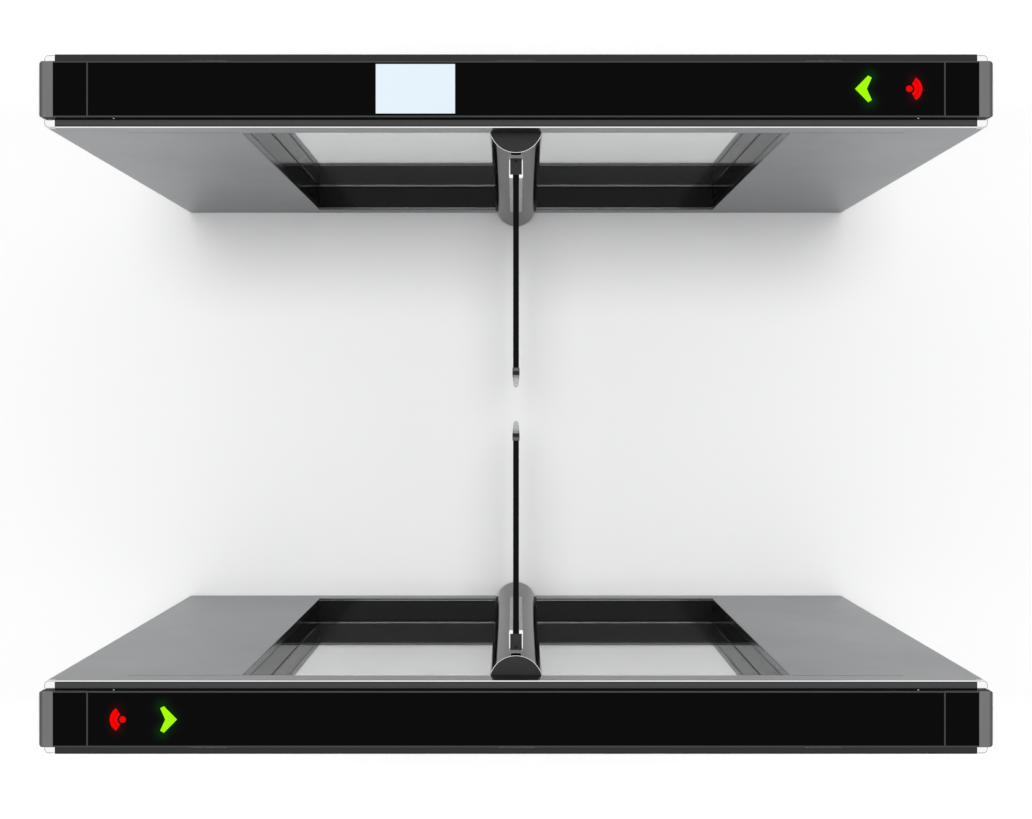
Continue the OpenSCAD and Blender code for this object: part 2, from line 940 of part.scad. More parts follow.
// Output hub: shaft in the motor, flange in the tube
module drive_hub() {
    end_gap = 10;
    shaft_z = motor_top - motor_h / 2 + end_gap;
    holes = 6;
    hole_r = 7;
    color("darkgray")
        at_axis()
            difference() {
                union() {
                    translate([0, 0, shaft_z])
                        cylinder(r = shaft_r, h = hub_z + hub_t / 2 - shaft_z);
                    translate([0, 0, hub_z])
                        cylinder(r = tube_in - inlay_gap, h = hub_t);
                }
                for (i = [1 : holes])
                    rotate([0, 0, i * 360 / holes])
                        translate([(shaft_r + tube_in) / 2, 0, hub_z - eps])
                            cylinder(r = hole_r, h = hub_t + 2 * eps);
            }
}

// Control board on stand-offs behind the recess's end wall
module control_boards() {
    board_side = 20;
    board_w = body_w - 2 * board_side;
    board_h = 260;
    board_t = 1.6;
    board_z = 480;
    standoff_l = 8;
    standoff_r = 3;
    edge = 10;
    transformer = [12, 24, 60];
    processor = [9, 20, 20];
    relay = [16, 26, 18];
    relay_pitch = 22;
    relays = 4;
    capacitor_r = 6;
    capacitor_l = 24;
    terminals = [11, 68, 12];
    color([0.05, 0.3, 0.12])
        translate([wall_x + standoff_l, body_w / 2, board_z]) {
            translate([0, -board_w / 2, 0])
                cube([board_t, board_w, board_h]);
            for (y = [-1, 1], z = [edge, board_h - edge])
                translate([-standoff_l, y * (board_w / 2 - edge), z])
                    rotate([0, 90, 0])
                        cylinder(r = standoff_r, h = standoff_l + board_t / 2);
            translate([board_t / 2, -transformer.y - edge / 2, 4 * edge])
                cube(transformer);
            translate([board_t / 2, edge, 6 * edge])
                cube(processor);
            for (i = [0 : relays - 1])
                translate([board_t / 2, edge / 2, 13 * edge + i * relay_pitch])
                    cube(relay);
            for (y = [-3 * edge, -edge])
                translate([board_t / 2, y, 18 * edge])
                    rotate([0, 90, 0])
                        cylinder(r = capacitor_r, h = capacitor_l);
            translate([board_t / 2, -terminals.y / 2, board_h - edge - terminals.z])
                cube(terminals);
        }
}

// Power supply on the other end wall, its cover slotted
module power_supplies() {
    supply_side = 17;
    supply_w = body_w - 2 * supply_side;
    supply_h = 180;
    supply_d = 40;
    supply_z = 420;
    vents = 9;
    vent_pitch = 14;
    vent_h = 6;
    vent_d = 3;
    vent_w = supply_w - 2 * vent_pitch;
    bay_w = supply_w - vent_pitch;
    bay_h = 22;
    bay_d = 18;
    color("silver")
        mirror([1, 0, 0])
            translate([wall_x, body_w / 2, supply_z])
                difference() {
                    translate([0, -supply_w / 2, 0])
                        cube([supply_d, supply_w, supply_h]);
                    for (i = [1 : vents])
                        translate([supply_d - vent_d, -vent_w / 2, i * vent_pitch])
                            cube([vent_d + eps, vent_w, vent_h]);
                    translate([supply_d - bay_d, -bay_w / 2, supply_h - bay_h])
                        cube([bay_d + eps, bay_w, bay_h + eps]);
                }
}

// U-shaped clamp that holds the wing glass on the column
module wing_clamp() {
    bore = clamp_w - 2 * clamp_wall;
    corner = 1.5;
    saddle_d = tube_r / 5;
    color("silver")
        at_axis()
            difference() {
                translate([0, 0, clamp_bottom])
                    linear_extrude(clamp_top - clamp_bottom)
                        difference() {
                            union() {
                                translate([-clamp_w / 2, -clamp_front + corner])
                                    square([clamp_w, clamp_out - corner + saddle_d]);
                                translate([-clamp_w / 2 + corner, -clamp_front])
                                    square([clamp_w - 2 * corner, 2 * corner]);
                                for (x = [-1, 1])
                                    translate([x * (clamp_w / 2 - corner), -clamp_front + corner])
                                        circle(corner);
                            }
                            translate([-bore / 2, -clamp_front + lip_d])
                                square([bore, clamp_front - lip_d - clamp_back]);
                            translate([-wing_t / 2 - seam_gap, -clamp_front - eps])
                                square([wing_t + 2 * seam_gap, clamp_front - clamp_back]);
                            circle(tube_r + inlay_gap);
                        }
                clamp_holes();
            }
}

// The places of the clamp screws, turned so that a screw lies along X
module at_screws() {
    pitch = clamp_h / screw_rows;
    for (i = [1 : screw_rows])
        translate([0, -screw_u, clamp_bottom + pitch * (i - 1 / 2)])
            rotate([0, 90, 0])
                children();
}

// Holes for the clamp screws
module clamp_holes() {
    at_screws()
        cylinder(r = screw_r + inlay_gap, h = clamp_w + 2 * eps, center = true);
}

// Dark packing between the clamp and the glass, closed above the glass
module clamp_gasket() {
    out_w = clamp_w - 2 * clamp_wall - 2 * inlay_gap;
    slot_w = wing_t + 2 * inlay_gap;
    front = clamp_front - lip_d - inlay_gap;
    top_gap = 0.5;
    color([0.12, 0.12, 0.12])
        at_axis()
            difference() {
                translate([-out_w / 2, -front, clamp_bottom])
                    cube([out_w, front - clamp_back - inlay_gap, clamp_top - clamp_bottom - top_gap]);
                translate([-slot_w / 2, -front - eps, clamp_bottom - eps])
                    cube([slot_w, front + eps - glass_back + inlay_gap, clamp_h + eps + inlay_gap]);
                clamp_holes();
                translate([0, -top_screw_u, clamp_top - top_screw_l])
                    cylinder(r = screw_r + inlay_gap, h = top_screw_l);
            }
}

// Clamp screws on both sides and one retaining screw on top
module clamp_screws() {
    tip = wing_t / 2 + seam_gap;
    color("gray")
        at_axis() {
            both_ends()
                at_screws() {
                    translate([0, 0, tip])
                        cylinder(r = screw_r, h = clamp_w / 2 - tip);
                    translate([0, 0, clamp_w / 2])
                        cylinder(r = screw_head_r, h = screw_head_t);
                }
            translate([0, -top_screw_u, clamp_top - top_screw_l])
                cylinder(r = screw_r, h = top_screw_l);
        }
}

// Outline of the wing glass, drawn in its own plane from the clamp outwards
module wing_outline(x0, x1, inset = 0) {
    r = wing_corner_r;
    difference() {
        translate([x0, wing_bottom + inset])
            square([x1 - x0, wing_h - 2 * inset]);
        for (z = [0, 1])
            translate([x1, z ? wing_top - inset : wing_bottom + inset])
                difference() {
                    square(2 * r, center = true);
                    translate([-r, z ? -r : r])
                        circle(r);
                    translate([-3 * r, -2 * r])
                        square([2 * r, 4 * r]);
                }
    }
}

// Lays a shape drawn in reach and height across the lane, as a plate of thickness t
module as_wing(t) {
    rotate([90, 0, -90])
        translate([0, 0, -t / 2])
            linear_extrude(t)
                children();
}

module wing_glass() {
    color([0.6, 0.75, 0.75, 0.35])
        at_axis()
            as_wing(wing_t)
                wing_outline(glass_back, glass_end);
}

// Dark edge profile that grips the end of the glass
module tip_profile() {
    around = tip_wall + inlay_gap;
    color([0.12, 0.12, 0.12])
        at_axis()
            difference() {
                translate([-wing_t / 2 - around, -glass_end - around, wing_bottom])
                    cube([wing_t + 2 * around, tip_l + around, wing_h]);
                translate([-wing_t / 2 - inlay_gap, -glass_end - inlay_gap, wing_bottom - eps])
                    cube([wing_t + 2 * inlay_gap, tip_l + 2 * eps, wing_h + 2 * eps]);
            }
}

// Clear round-nosed bumper at the tip of the wing
module wing_bumper() {
    r = wing_t / 2;
    root = glass_end + tip_wall + inlay_gap;
    color([0.85, 0.87, 0.87, 0.6])
        at_axis()
            translate([0, 0, wing_bottom])
                linear_extrude(wing_h)
                    union() {
                        translate([-r, -wing_reach + r])
                            square([wing_t, wing_reach - r - root]);
                        translate([0, -wing_reach + r])
                            circle(r);
                    }
}

on_left() base_plate();  // left_base_plate
on_right() base_plate();  // right_base_plate
on_left() lane_panel();  // left_lane_panel
on_right() lane_panel();  // right_lane_panel
on_left() outer_panel();  // left_outer_panel
on_right() outer_panel();  // right_outer_panel
on_left() top_beam();  // left_top_beam
on_right() top_beam();  // right_top_beam
on_left() motor();  // left_motor
on_right() motor();  // right_motor
on_both() end_panels();
on_both() corner_caps();
on_both() jamb_panels();
on_both() plinth_decks();
on_both() centre_panes();
on_both() pane_profiles();
on_both() rim_trims();
on_both() end_frames();
on_both() end_glasses();
on_both() end_caps();
on_both() bearings();
on_both() brakes();
on_both() control_boards();
on_both() power_supplies();
on_both() beam_sensors();
on_both() hinge_pins();
on_left() lid_frame(true);  // left_lid_frame
on_right() lid_frame(false);  // right_lid_frame
on_left() lid_glass(true);  // left_lid_glass
on_right() lid_glass(false);  // right_lid_glass
on_left() lid_hinges();  // left_lid_hinges
on_right() lid_hinges();  // right_lid_hinges
on_left() arrow_light();  // left_arrow_light
on_right() arrow_light();  // right_arrow_light
on_left() reader_light();  // left_reader_light
on_right() reader_light();  // right_reader_light
on_left() card_reader();  // left_card_reader
on_right() card_reader();  // right_card_reader
on_left() display();  // left_display
on_left() column_tube();  // left_column_tube
on_right() column_tube();  // right_column_tube
on_left() collar();  // left_collar
on_right() collar();  // right_collar
on_left() column_cap();  // left_column_cap
on_right() column_cap();  // right_column_cap
on_left() drive_hub();  // left_drive_hub
on_right() drive_hub();  // right_drive_hub
on_left() wing_clamp();  // left_wing_clamp
on_right() wing_clamp();  // right_wing_clamp
on_left() clamp_gasket();  // left_clamp_gasket
on_right() clamp_gasket();  // right_clamp_gasket
on_left() clamp_screws();  // left_clamp_screws
on_right() clamp_screws();  // right_clamp_screws
on_left() wing_glass();  // left_wing_glass
on_right() wing_glass();  // right_wing_glass
on_left() tip_profile();  // left_tip_profile
on_right() tip_profile();  // right_tip_profile
on_left() wing_bumper();  // left_wing_bumper
on_right() wing_bumper();  // right_wing_bumper
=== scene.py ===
"""Looks of a speed gate: two slim steel cabinets with a walking lane between them.

Each cabinet has a turning column with a glass wing, a window recess that the wing folds
into, and a hinged lid of black glass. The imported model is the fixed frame, and every piece
made here stands where its node stands. All sizes are in metres: +X runs along the passage,
+Y across the lane towards the cabinet with the display, and +Z up. Pieces are modelled for
the left cabinet, at +Y, and the right one gets copies turned half round.
"""

import logging
import math
from contextlib import contextmanager
from dataclasses import dataclass, field
from enum import Enum
from typing import Any, Callable, Dict, Iterator, List, Optional, Sequence, Tuple

import bmesh
import bpy
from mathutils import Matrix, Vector


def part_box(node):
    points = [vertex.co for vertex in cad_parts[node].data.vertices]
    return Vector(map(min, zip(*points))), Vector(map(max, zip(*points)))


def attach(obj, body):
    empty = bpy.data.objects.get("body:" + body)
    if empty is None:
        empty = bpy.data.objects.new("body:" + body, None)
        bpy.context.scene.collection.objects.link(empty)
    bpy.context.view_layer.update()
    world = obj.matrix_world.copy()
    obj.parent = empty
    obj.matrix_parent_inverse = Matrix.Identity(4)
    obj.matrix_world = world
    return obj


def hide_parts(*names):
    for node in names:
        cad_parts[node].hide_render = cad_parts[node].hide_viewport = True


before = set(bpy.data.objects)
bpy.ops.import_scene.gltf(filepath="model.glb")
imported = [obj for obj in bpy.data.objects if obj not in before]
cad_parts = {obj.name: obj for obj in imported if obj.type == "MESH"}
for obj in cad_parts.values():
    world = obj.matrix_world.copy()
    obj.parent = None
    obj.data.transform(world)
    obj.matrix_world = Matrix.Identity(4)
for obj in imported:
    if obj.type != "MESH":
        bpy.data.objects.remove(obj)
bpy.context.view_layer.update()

MM = 0.001
TOUCH = 0.02 * MM
GAP = 0.3 * MM
INLAY = 0.15 * MM
CUT = 1 * MM
# How far the rim trims' band of painted shade reaches out beyond the lid's lane edge.
GAP_SHADE_OUT = 2.2 * MM

Point = Tuple[float, float, float]
Colour = Tuple[float, float, float]
Test = Callable[[Vector, Vector], bool]

log = logging.getLogger("speed_gate")


class Kind(Enum):
    """What is picked in edit mode."""

    CORNER = "VERT"
    EDGE = "EDGE"
    FACE = "FACE"


class Axis(Enum):
    """The way a round piece points, with the turn that brings +Z there."""

    X = (0.0, math.pi / 2, 0.0)
    Z = (0.0, 0.0, 0.0)


class Side(Enum):
    """One of the two cabinets."""

    LEFT = "left"
    RIGHT = "right"


def near(a: float, b: float) -> bool:
    """Tells whether two lengths are the same place on a piece."""
    return abs(a - b) < TOUCH


def linear(red: int, green: int, blue: int) -> Colour:
    """Turns a screen colour of 0 to 255 into the values that shaders use.

    Args:
        red: Red part.
        green: Green part.
        blue: Blue part.

    Returns:
        The colour in linear light.
    """
    def one(level: int) -> float:
        """Turns one part of the colour."""
        share = level / 255
        return share / 12.92 if share <= 0.04045 else ((share + 0.055) / 1.055) ** 2.4

    return one(red), one(green), one(blue)


class Workpiece:
    """One mesh on the bench, shaped with modelling tools until it is a finished piece."""

    def __init__(self, obj: bpy.types.Object) -> None:
        """Takes an object onto the bench."""
        self.obj = obj

    @staticmethod
    def clear() -> None:
        """Deselects everything."""
        bpy.ops.object.select_all(action="DESELECT")

    def alone(self) -> None:
        """Makes this the only selected object, and the active one."""
        self.clear()
        self.obj.select_set(True)
        bpy.context.view_layer.objects.active = self.obj

    @classmethod
    def _settled(cls, name: str) -> "Workpiece":
        """Names the new primitive and moves its place and size into its mesh."""
        piece = cls(bpy.context.active_object)
        piece.obj.name = name
        piece.obj.data.name = name
        return piece.apply()

    def apply(self) -> "Workpiece":
        """Moves the object's place, turn and size into its mesh."""
        self.alone()
        bpy.ops.object.transform_apply(location=True, rotation=True, scale=True)
        return self

    @classmethod
    def block(cls, name: str, low: Point, high: Point) -> "Workpiece":
        """Starts from a block between its lowest and highest corners."""
        cls.clear()
        bpy.ops.mesh.primitive_cube_add(size=1, location=[(a + b) / 2 for a, b in zip(low, high)])
        bpy.context.active_object.scale = [b - a for a, b in zip(low, high)]
        return cls._settled(name)

    @classmethod
    def cylinder(
        cls, name: str, centre: Point, radius: float, length: float, axis: Axis = Axis.Z,
        sides: int = 96, ends: str = "NGON",
    ) -> "Workpiece":
        """Starts from a cylinder.

        Args:
            name: Name of the piece.
            centre: Middle of the cylinder.
            radius: Its radius.
            length: Its length.
            axis: The way it points.
            sides: How many sides the round has.
            ends: How its ends are filled.

        Returns:
            The cylinder on the bench.
        """
        cls.clear()
        bpy.ops.mesh.primitive_cylinder_add(
            vertices=sides, radius=radius, depth=length, end_fill_type=ends, location=centre,
            rotation=axis.value)
        return cls._settled(name)

    @classmethod
    def drawn(cls, name: str, corners: Sequence[Point], closed: bool = True) -> "Workpiece":
        """Draws a line by extruding one corner from place to place.

        Args:
            name: Name of the piece.
            corners: The places of the line's corners.
            closed: Whether the last corner joins the first.

        Returns:
            The line on the bench, with no face yet.
        """
        cls.clear()
        bpy.ops.mesh.primitive_plane_add(size=MM, location=corners[0])
        piece = cls._settled(name)
        with piece.editing():
            bpy.ops.mesh.select_all(action="SELECT")
            bpy.ops.mesh.merge(type="CENTER")
            for here, there in zip(corners, corners[1:]):
                step = Vector(there) - Vector(here)
                bpy.ops.mesh.extrude_region_move(TRANSFORM_OT_translate={"value": step})
            if closed:
                ends = Vector(corners[0]), Vector(corners[-1])
                piece.pick(Kind.CORNER, lambda p, n: any((p - end).length < TOUCH for end in ends))
                bpy.ops.mesh.edge_face_add()
        return piece

    @classmethod
    def turned(
        cls, name: str, centre: Point, profile: Sequence[Tuple[float, float]], sides: int = 96,
        closed: bool = True,
    ) -> "Workpiece":
        """Turns a profile round an upright axis, as on a lathe.

        Args:
            name: Name of the piece.
            centre: Where the axis meets height 0 of the profile.
            profile: Radius and height of each corner of the profile.
            sides: How many sides the round has.
            closed: Whether the profile is a ring. If not, it starts and ends on the axis.

        Returns:
            The turned piece.
        """
        x, y, z = centre
        piece = cls.drawn(name, [(x + r, y, z + h) for r, h in profile], closed)
        with piece.editing():
            bpy.ops.mesh.select_all(action="SELECT")
            bpy.ops.mesh.spin(steps=sides, angle=2 * math.pi, center=centre, axis=(0, 0, 1))
        return piece.weld()

    @contextmanager
    def editing(self) -> Iterator[None]:
        """Holds the piece in edit mode."""
        self.alone()
        bpy.ops.object.mode_set(mode="EDIT")
        bpy.ops.mesh.select_mode(type=Kind.CORNER.value)
        try:
            yield
        finally:
            bpy.ops.object.mode_set(mode="OBJECT")

    def pick(self, kind: Kind, test: Test) -> None:
        """Selects what passes a test, in edit mode.

        Args:
            kind: Whether corners, edges or faces are looked at.
            test: Gets an element's middle, and its normal or an edge's direction.
        """
        bpy.ops.mesh.select_mode(type=kind.value)
        bpy.ops.mesh.select_all(action="DESELECT")
        mesh = bmesh.from_edit_mesh(self.obj.data)
        mesh.normal_update()
        if kind is Kind.FACE:
            for item in mesh.faces:
                item.select_set(test(item.calc_center_median(), item.normal))
        elif kind is Kind.EDGE:
            for item in mesh.edges:
                ends = [corner.co for corner in item.verts]
                item.select_set(test((ends[0] + ends[1]) / 2, (ends[1] - ends[0]).normalized()))
        else:
            for item in mesh.verts:
                item.select_set(test(item.co, item.normal))
        mesh.select_flush_mode()
        bmesh.update_edit_mesh(self.obj.data)

    def weld(self) -> "Workpiece":
        """Merges doubled corners and turns all faces outwards."""
        with self.editing():
            bpy.ops.mesh.select_all(action="SELECT")
            bpy.ops.mesh.remove_doubles(threshold=TOUCH / 10)
            bpy.ops.mesh.normals_make_consistent(inside=False)
        return self

    def face(self, way: Point) -> "Workpiece":
        """Turns an open sheet so that its largest face looks a given way."""
        largest = max(self.obj.data.polygons, key=lambda p: p.area)
        if largest.normal.dot(Vector(way)) < 0:
            with self.editing():
                bpy.ops.mesh.select_all(action="SELECT")
                bpy.ops.mesh.flip_normals()
        return self

    def extrude(self, kind: Kind, test: Test, move: Point) -> "Workpiece":
        """Extrudes the picked faces or edges by a move."""
        with self.editing():
            self.pick(kind, test)
            bpy.ops.mesh.extrude_region_move(TRANSFORM_OT_translate={"value": move})
        return self

    def divide(self, place: Point, normal: Point) -> "Workpiece":
        """Cuts new edges where a plane crosses the piece."""
        with self.editing():
            bpy.ops.mesh.select_all(action="SELECT")
            bpy.ops.mesh.bisect(plane_co=place, plane_no=normal)
        return self

    def remove(self, test: Test) -> "Workpiece":
        """Deletes the picked faces."""
        with self.editing():
            self.pick(Kind.FACE, test)
            bpy.ops.mesh.delete(type="FACE")
        return self

    def round_edges(self, radius: float, test: Test, steps: int = 4) -> "Workpiece":
        """Bevels the picked edges to a round.

        Args:
            radius: Radius of the round.
            test: Picks the edges.
            steps: How many faces the round has.

        Returns:
            The piece.
        """
        with self.editing():
            self.pick(Kind.EDGE, test)
            bpy.ops.mesh.bevel(offset=radius, segments=steps, affect="EDGES", clamp_overlap=False)
        return self

    def fill(self) -> "Workpiece":
        """Fills a closed line with one face."""
        with self.editing():
            bpy.ops.mesh.select_all(action="SELECT")
            bpy.ops.mesh.edge_face_add()
        return self

    def _modify(self, kind: str, **settings: Any) -> "Workpiece":
        """Adds a modifier with its settings, and applies it."""
        self.alone()
        bpy.ops.object.modifier_add(type=kind)
        modifier = self.obj.modifiers[-1]
        for key, value in settings.items():
            setattr(modifier, key, value)
        bpy.ops.object.modifier_apply(modifier=modifier.name)
        return self

    def thicken(self, wall: float) -> "Workpiece":
        """Gives an open sheet its wall, on the side that its normals leave."""
        return self._modify("SOLIDIFY", thickness=wall, offset=-1, use_even_offset=True)

    def soften(self, width: float, steps: int = 2, angle: float = 35) -> "Workpiece":
        """Breaks all edges that are sharper than an angle in degrees."""
        return self._modify(
            "BEVEL", width=width, segments=steps, limit_method="ANGLE",
            angle_limit=math.radians(angle), use_clamp_overlap=True, miter_outer="MITER_ARC")

    def _combine(
        self, operation: str, tools: Sequence["Workpiece"], crossing: bool = False,
    ) -> "Workpiece":
        """Applies other pieces to this one and throws them away."""
        for tool in tools:
            self._modify(
                "BOOLEAN", operation=operation, solver="EXACT", use_self=crossing, object=tool.obj)
            tool.discard()
        return self

    def cut(self, *tools: "Workpiece", crossing: bool = False) -> "Workpiece":
        """Cuts the space of other pieces out of this one, whose folds may cross each other."""
        return self._combine("DIFFERENCE", tools, crossing)

    def common(self, *tools: "Workpiece") -> "Workpiece":
        """Keeps only what other pieces share with this one."""
        return self._combine("INTERSECT", tools)

    def fuse(self, *tools: "Workpiece") -> "Workpiece":
        """Melts other pieces into this one."""
        return self._combine("UNION", tools)

    def discard(self) -> None:
        """Deletes the piece."""
        self.alone()
        bpy.ops.object.delete()

    def copy(self, name: str) -> "Workpiece":
        """Makes a copy with its own mesh."""
        self.alone()
        bpy.ops.object.duplicate()
        twin = Workpiece(bpy.context.active_object)
        twin.obj.name = name
        twin.obj.data.name = name
        return twin

    def moved(self, move: Point) -> "Workpiece":
        """Moves the mesh."""
        self.obj.location = move
        return self.apply()

    def rotated(self, turn: Point) -> "Workpiece":
        """Turns the mesh round the origin, by angles round X, Y and Z."""
        self.obj.rotation_euler = turn
        return self.apply()

    def mirrored(self, axis: int, plane: float) -> "Workpiece":
        """Mirrors the mesh about a plane across one axis."""
        self.obj.scale[axis] = -1
        self.obj.location[axis] = 2 * plane
        return self.apply().weld()

    def join(self, others: Sequence["Workpiece"]) -> "Workpiece":
        """Puts other pieces into this object, as solids of their own."""
        self.alone()
        for other in others:
            other.obj.select_set(True)
        bpy.ops.object.join()
        return self

    def smooth(self, angle: float = 40) -> "Workpiece":
        """Shades rounds smooth and keeps flats flat."""
        self.alone()
        bpy.ops.object.shade_smooth_by_angle(angle=math.radians(angle))
        return self._modify("WEIGHTED_NORMAL", keep_sharp=True)

    def paint(self, *finishes: bpy.types.Material) -> "Workpiece":
        """Gives the piece its materials, the first one all over."""
        self.obj.data.materials.clear()
        for finish in finishes:
            self.obj.data.materials.append(finish)
        return self

    def paint_faces(self, index: int, test: Test) -> "Workpiece":
        """Gives picked faces another of the piece's materials."""
        for polygon in self.obj.data.polygons:
            if test(Vector(polygon.center), Vector(polygon.normal)):
                polygon.material_index = index
        return self

    def fit(self, body: str, slot: str, *nodes: str) -> "Workpiece":
        """Finishes the piece on the frame.

        Args:
            body: The body that it moves with.
            slot: Not used.
            nodes: The nodes that it stands for.

        Returns:
            The piece.
        """
        self.smooth()
        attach(self.obj, body)
        if nodes:
            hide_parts(*nodes)
        log.info("%s: %d faces on %s", self.obj.name, len(self.obj.data.polygons), body)
        return self

    def fit_pair(self, stem: str, body: str, slot: str, node: str) -> None:
        """Fits the piece on the left cabinet and its copy, turned half round, on the right one.

        Args:
            stem: Name of the piece without its side.
            body: Name of the body, where {side} stands for the side.
            slot: Name of a slot, handed on to fit.
            node: Name of the node that it stands for, also with {side}.
        """
        twin = self.copy(f"{Side.RIGHT.value}_{stem}").rotated((0, 0, math.pi))
        self.obj.name = f"{Side.LEFT.value}_{stem}"
        for side, piece in ((Side.LEFT, self), (Side.RIGHT, twin)):
            piece.fit(body.format(side=side.value), slot, node.format(side=side.value))

    def fit_ends(self, stem: str, slot: str, node: str) -> None:
        """Fits the piece at the +X end and its mirror image at the other, on both cabinets.

        Args:
            stem: Name of the piece without its side and its letter.
            slot: Name of a slot, handed on to fit_pair.
            node: Name of the node that it stands for.
        """
        other = self.copy(f"{stem}_far").mirrored(0, 0)
        for letter, piece in (("a", self), ("b", other)):
            piece.fit_pair(f"{stem}_{letter}", "cabinets", slot, node)


class Shader:
    """Adds and wires the nodes of one shader tree."""

    def __init__(self, tree: bpy.types.NodeTree) -> None:
        """Takes the tree."""
        self.tree = tree

    def feed(self, node: bpy.types.Node, inputs: Dict[Any, Any]) -> bpy.types.Node:
        """Sets a node's inputs.

        Args:
            node: The node.
            inputs: Values for its inputs, or the sockets that feed them.

        Returns:
            The node.
        """
        for key, value in inputs.items():
            if isinstance(value, bpy.types.NodeSocket):
                self.tree.links.new(value, node.inputs[key])
            else:
                node.inputs[key].default_value = value
        return node

    def add(
        self, kind: str, inputs: Optional[Dict[Any, Any]] = None, **settings: Any,
    ) -> bpy.types.Node:
        """Adds a node.

        Args:
            kind: Type of the node.
            inputs: Values for its inputs, or the sockets that feed them.
            settings: Its other settings.

        Returns:
            The node.
        """
        node = self.tree.nodes.new(kind)
        for key, value in settings.items():
            setattr(node, key, value)
        return self.feed(node, inputs or {})

    def math(self, operation: str, *values: Any) -> bpy.types.NodeSocket:
        """Works out one number from others."""
        return self.add("ShaderNodeMath", dict(enumerate(values)), operation=operation).outputs[0]

    def vector(self, operation: str, *values: Any) -> bpy.types.Node:
        """Works out a vector from others."""
        return self.add("ShaderNodeVectorMath", dict(enumerate(values)), operation=operation)

    def spread(self, value: Any, low: float, high: float) -> bpy.types.NodeSocket:
        """Maps a mask of 0 to 1 onto a range."""
        return self.add(
            "ShaderNodeMapRange", {"Value": value, "To Min": low, "To Max": high}).outputs[0]

    def noise(
        self, vector: Any, scale: Any, detail: float = 3, rough: float = 0.55,
    ) -> bpy.types.NodeSocket:
        """Adds a noise pattern of 0 to 1."""
        return self.add("ShaderNodeTexNoise", {
            "Vector": vector, "Scale": scale, "Detail": detail, "Roughness": rough}).outputs["Fac"]

    def place(self) -> bpy.types.NodeSocket:
        """Gives the point on the object that is shaded."""
        return self.add("ShaderNodeTexCoord").outputs["Object"]

    def tint(self, factor: Any, dark: Colour, light: Colour) -> bpy.types.NodeSocket:
        """Mixes two colours by a mask."""
        return self.add("ShaderNodeMix", {
            0: factor, 6: (*dark, 1), 7: (*light, 1)}, data_type="RGBA").outputs[2]

    def blend(self, one: Any, share: float, other: Any) -> bpy.types.NodeSocket:
        """Adds up two masks, the first with its share and the other with the rest."""
        parts = self.math("MULTIPLY", one, share), self.math("MULTIPLY", other, 1 - share)
        return self.math("ADD", *parts)

    def part(self, vector: Any, axis: str) -> bpy.types.NodeSocket:
        """Takes one coordinate of a vector."""
        return self.add("ShaderNodeSeparateXYZ", {0: vector}).outputs[axis]

    def grey(self, tone: Any) -> bpy.types.NodeSocket:
        """Makes a grey of one brightness."""
        return self.add("ShaderNodeCombineColor", {0: tone, 1: tone, 2: tone}).outputs[0]

    def bump(self, height: Any, distance: float, strength: float = 1) -> bpy.types.NodeSocket:
        """Turns a height into bumps of the surface."""
        return self.add("ShaderNodeBump", {
            "Height": height, "Distance": distance, "Strength": strength}).outputs[0]

    def group(self, tree: bpy.types.NodeTree, **inputs: Any) -> bpy.types.Node:
        """Places a shared group with its inputs."""
        return self.add("ShaderNodeGroup", inputs, node_tree=tree)


Sockets = Dict[str, bpy.types.NodeSocket]


def shared_group(
    name: str, inputs: Dict[str, Any], outputs: Sequence[str],
    wire: Callable[[Shader, Sockets], Sockets],
) -> bpy.types.NodeTree:
    """Builds a shader node group once, and gives it again when it exists.

    Args:
        name: Name of the group.
        inputs: Name and default of each input, a number or a vector.
        outputs: Names of its outputs, all plain numbers.
        wire: Adds the nodes and returns what feeds each output.

    Returns:
        The group's tree.
    """
    if name in bpy.data.node_groups:
        return bpy.data.node_groups[name]
    tree = bpy.data.node_groups.new(name, "ShaderNodeTree")
    for key, value in inputs.items():
        socket_type = "NodeSocketVector" if isinstance(value, tuple) else "NodeSocketFloat"
        socket = tree.interface.new_socket(name=key, in_out="INPUT", socket_type=socket_type)
        socket.default_value = value
    for key in outputs:
        tree.interface.new_socket(name=key, in_out="OUTPUT", socket_type="NodeSocketFloat")
    shader = Shader(tree)
    given = shader.add("NodeGroupInput").outputs
    made = wire(shader, {key: given[key] for key in inputs})
    shader.add("NodeGroupOutput", made)
    return tree


def ground_grain() -> bpy.types.NodeTree:
    """Fine lines left by grinding or brushing, longest where the scale is smallest."""
    def wire(s: Shader, given: Sockets) -> Sockets:
        """Adds the group's nodes."""
        place = s.vector("MULTIPLY", given["Vector"], given["Scale"]).outputs[0]
        coarse = s.noise(place, 1.0, 2, 0.6)
        finer = s.noise(place, 3.7, 2, 0.6)
        lines = s.blend(coarse, 0.6, finer)
        return {"Lines": lines, "Height": s.math("MULTIPLY", lines, given["Depth"])}

    return shared_group(
        "ground_grain", {"Vector": (0.0, 0.0, 0.0), "Scale": (1.0, 1.0, 1.0), "Depth": 1.0},
        ("Lines", "Height"), wire)


def clouding() -> bpy.types.NodeTree:
    """Wide soft patches, as on sheet that was rolled, handled and wiped."""
    def wire(s: Shader, given: Sockets) -> Sockets:
        """Adds the group's nodes."""
        wide = s.noise(given["Vector"], given["Size"], 2, 0.5)
        small = s.noise(given["Vector"], s.math("MULTIPLY", given["Size"], 5.3), 3, 0.6)
        both = s.blend(wide, 0.7, small)
        steep = s.add("ShaderNodeMapRange", {"Value": both, "From Min": 0.32, "From Max": 0.68})
        return {"Patches": steep.outputs[0]}

    return shared_group(
        "clouding", {"Vector": (0.0, 0.0, 0.0), "Size": 3.0}, ("Patches",), wire)


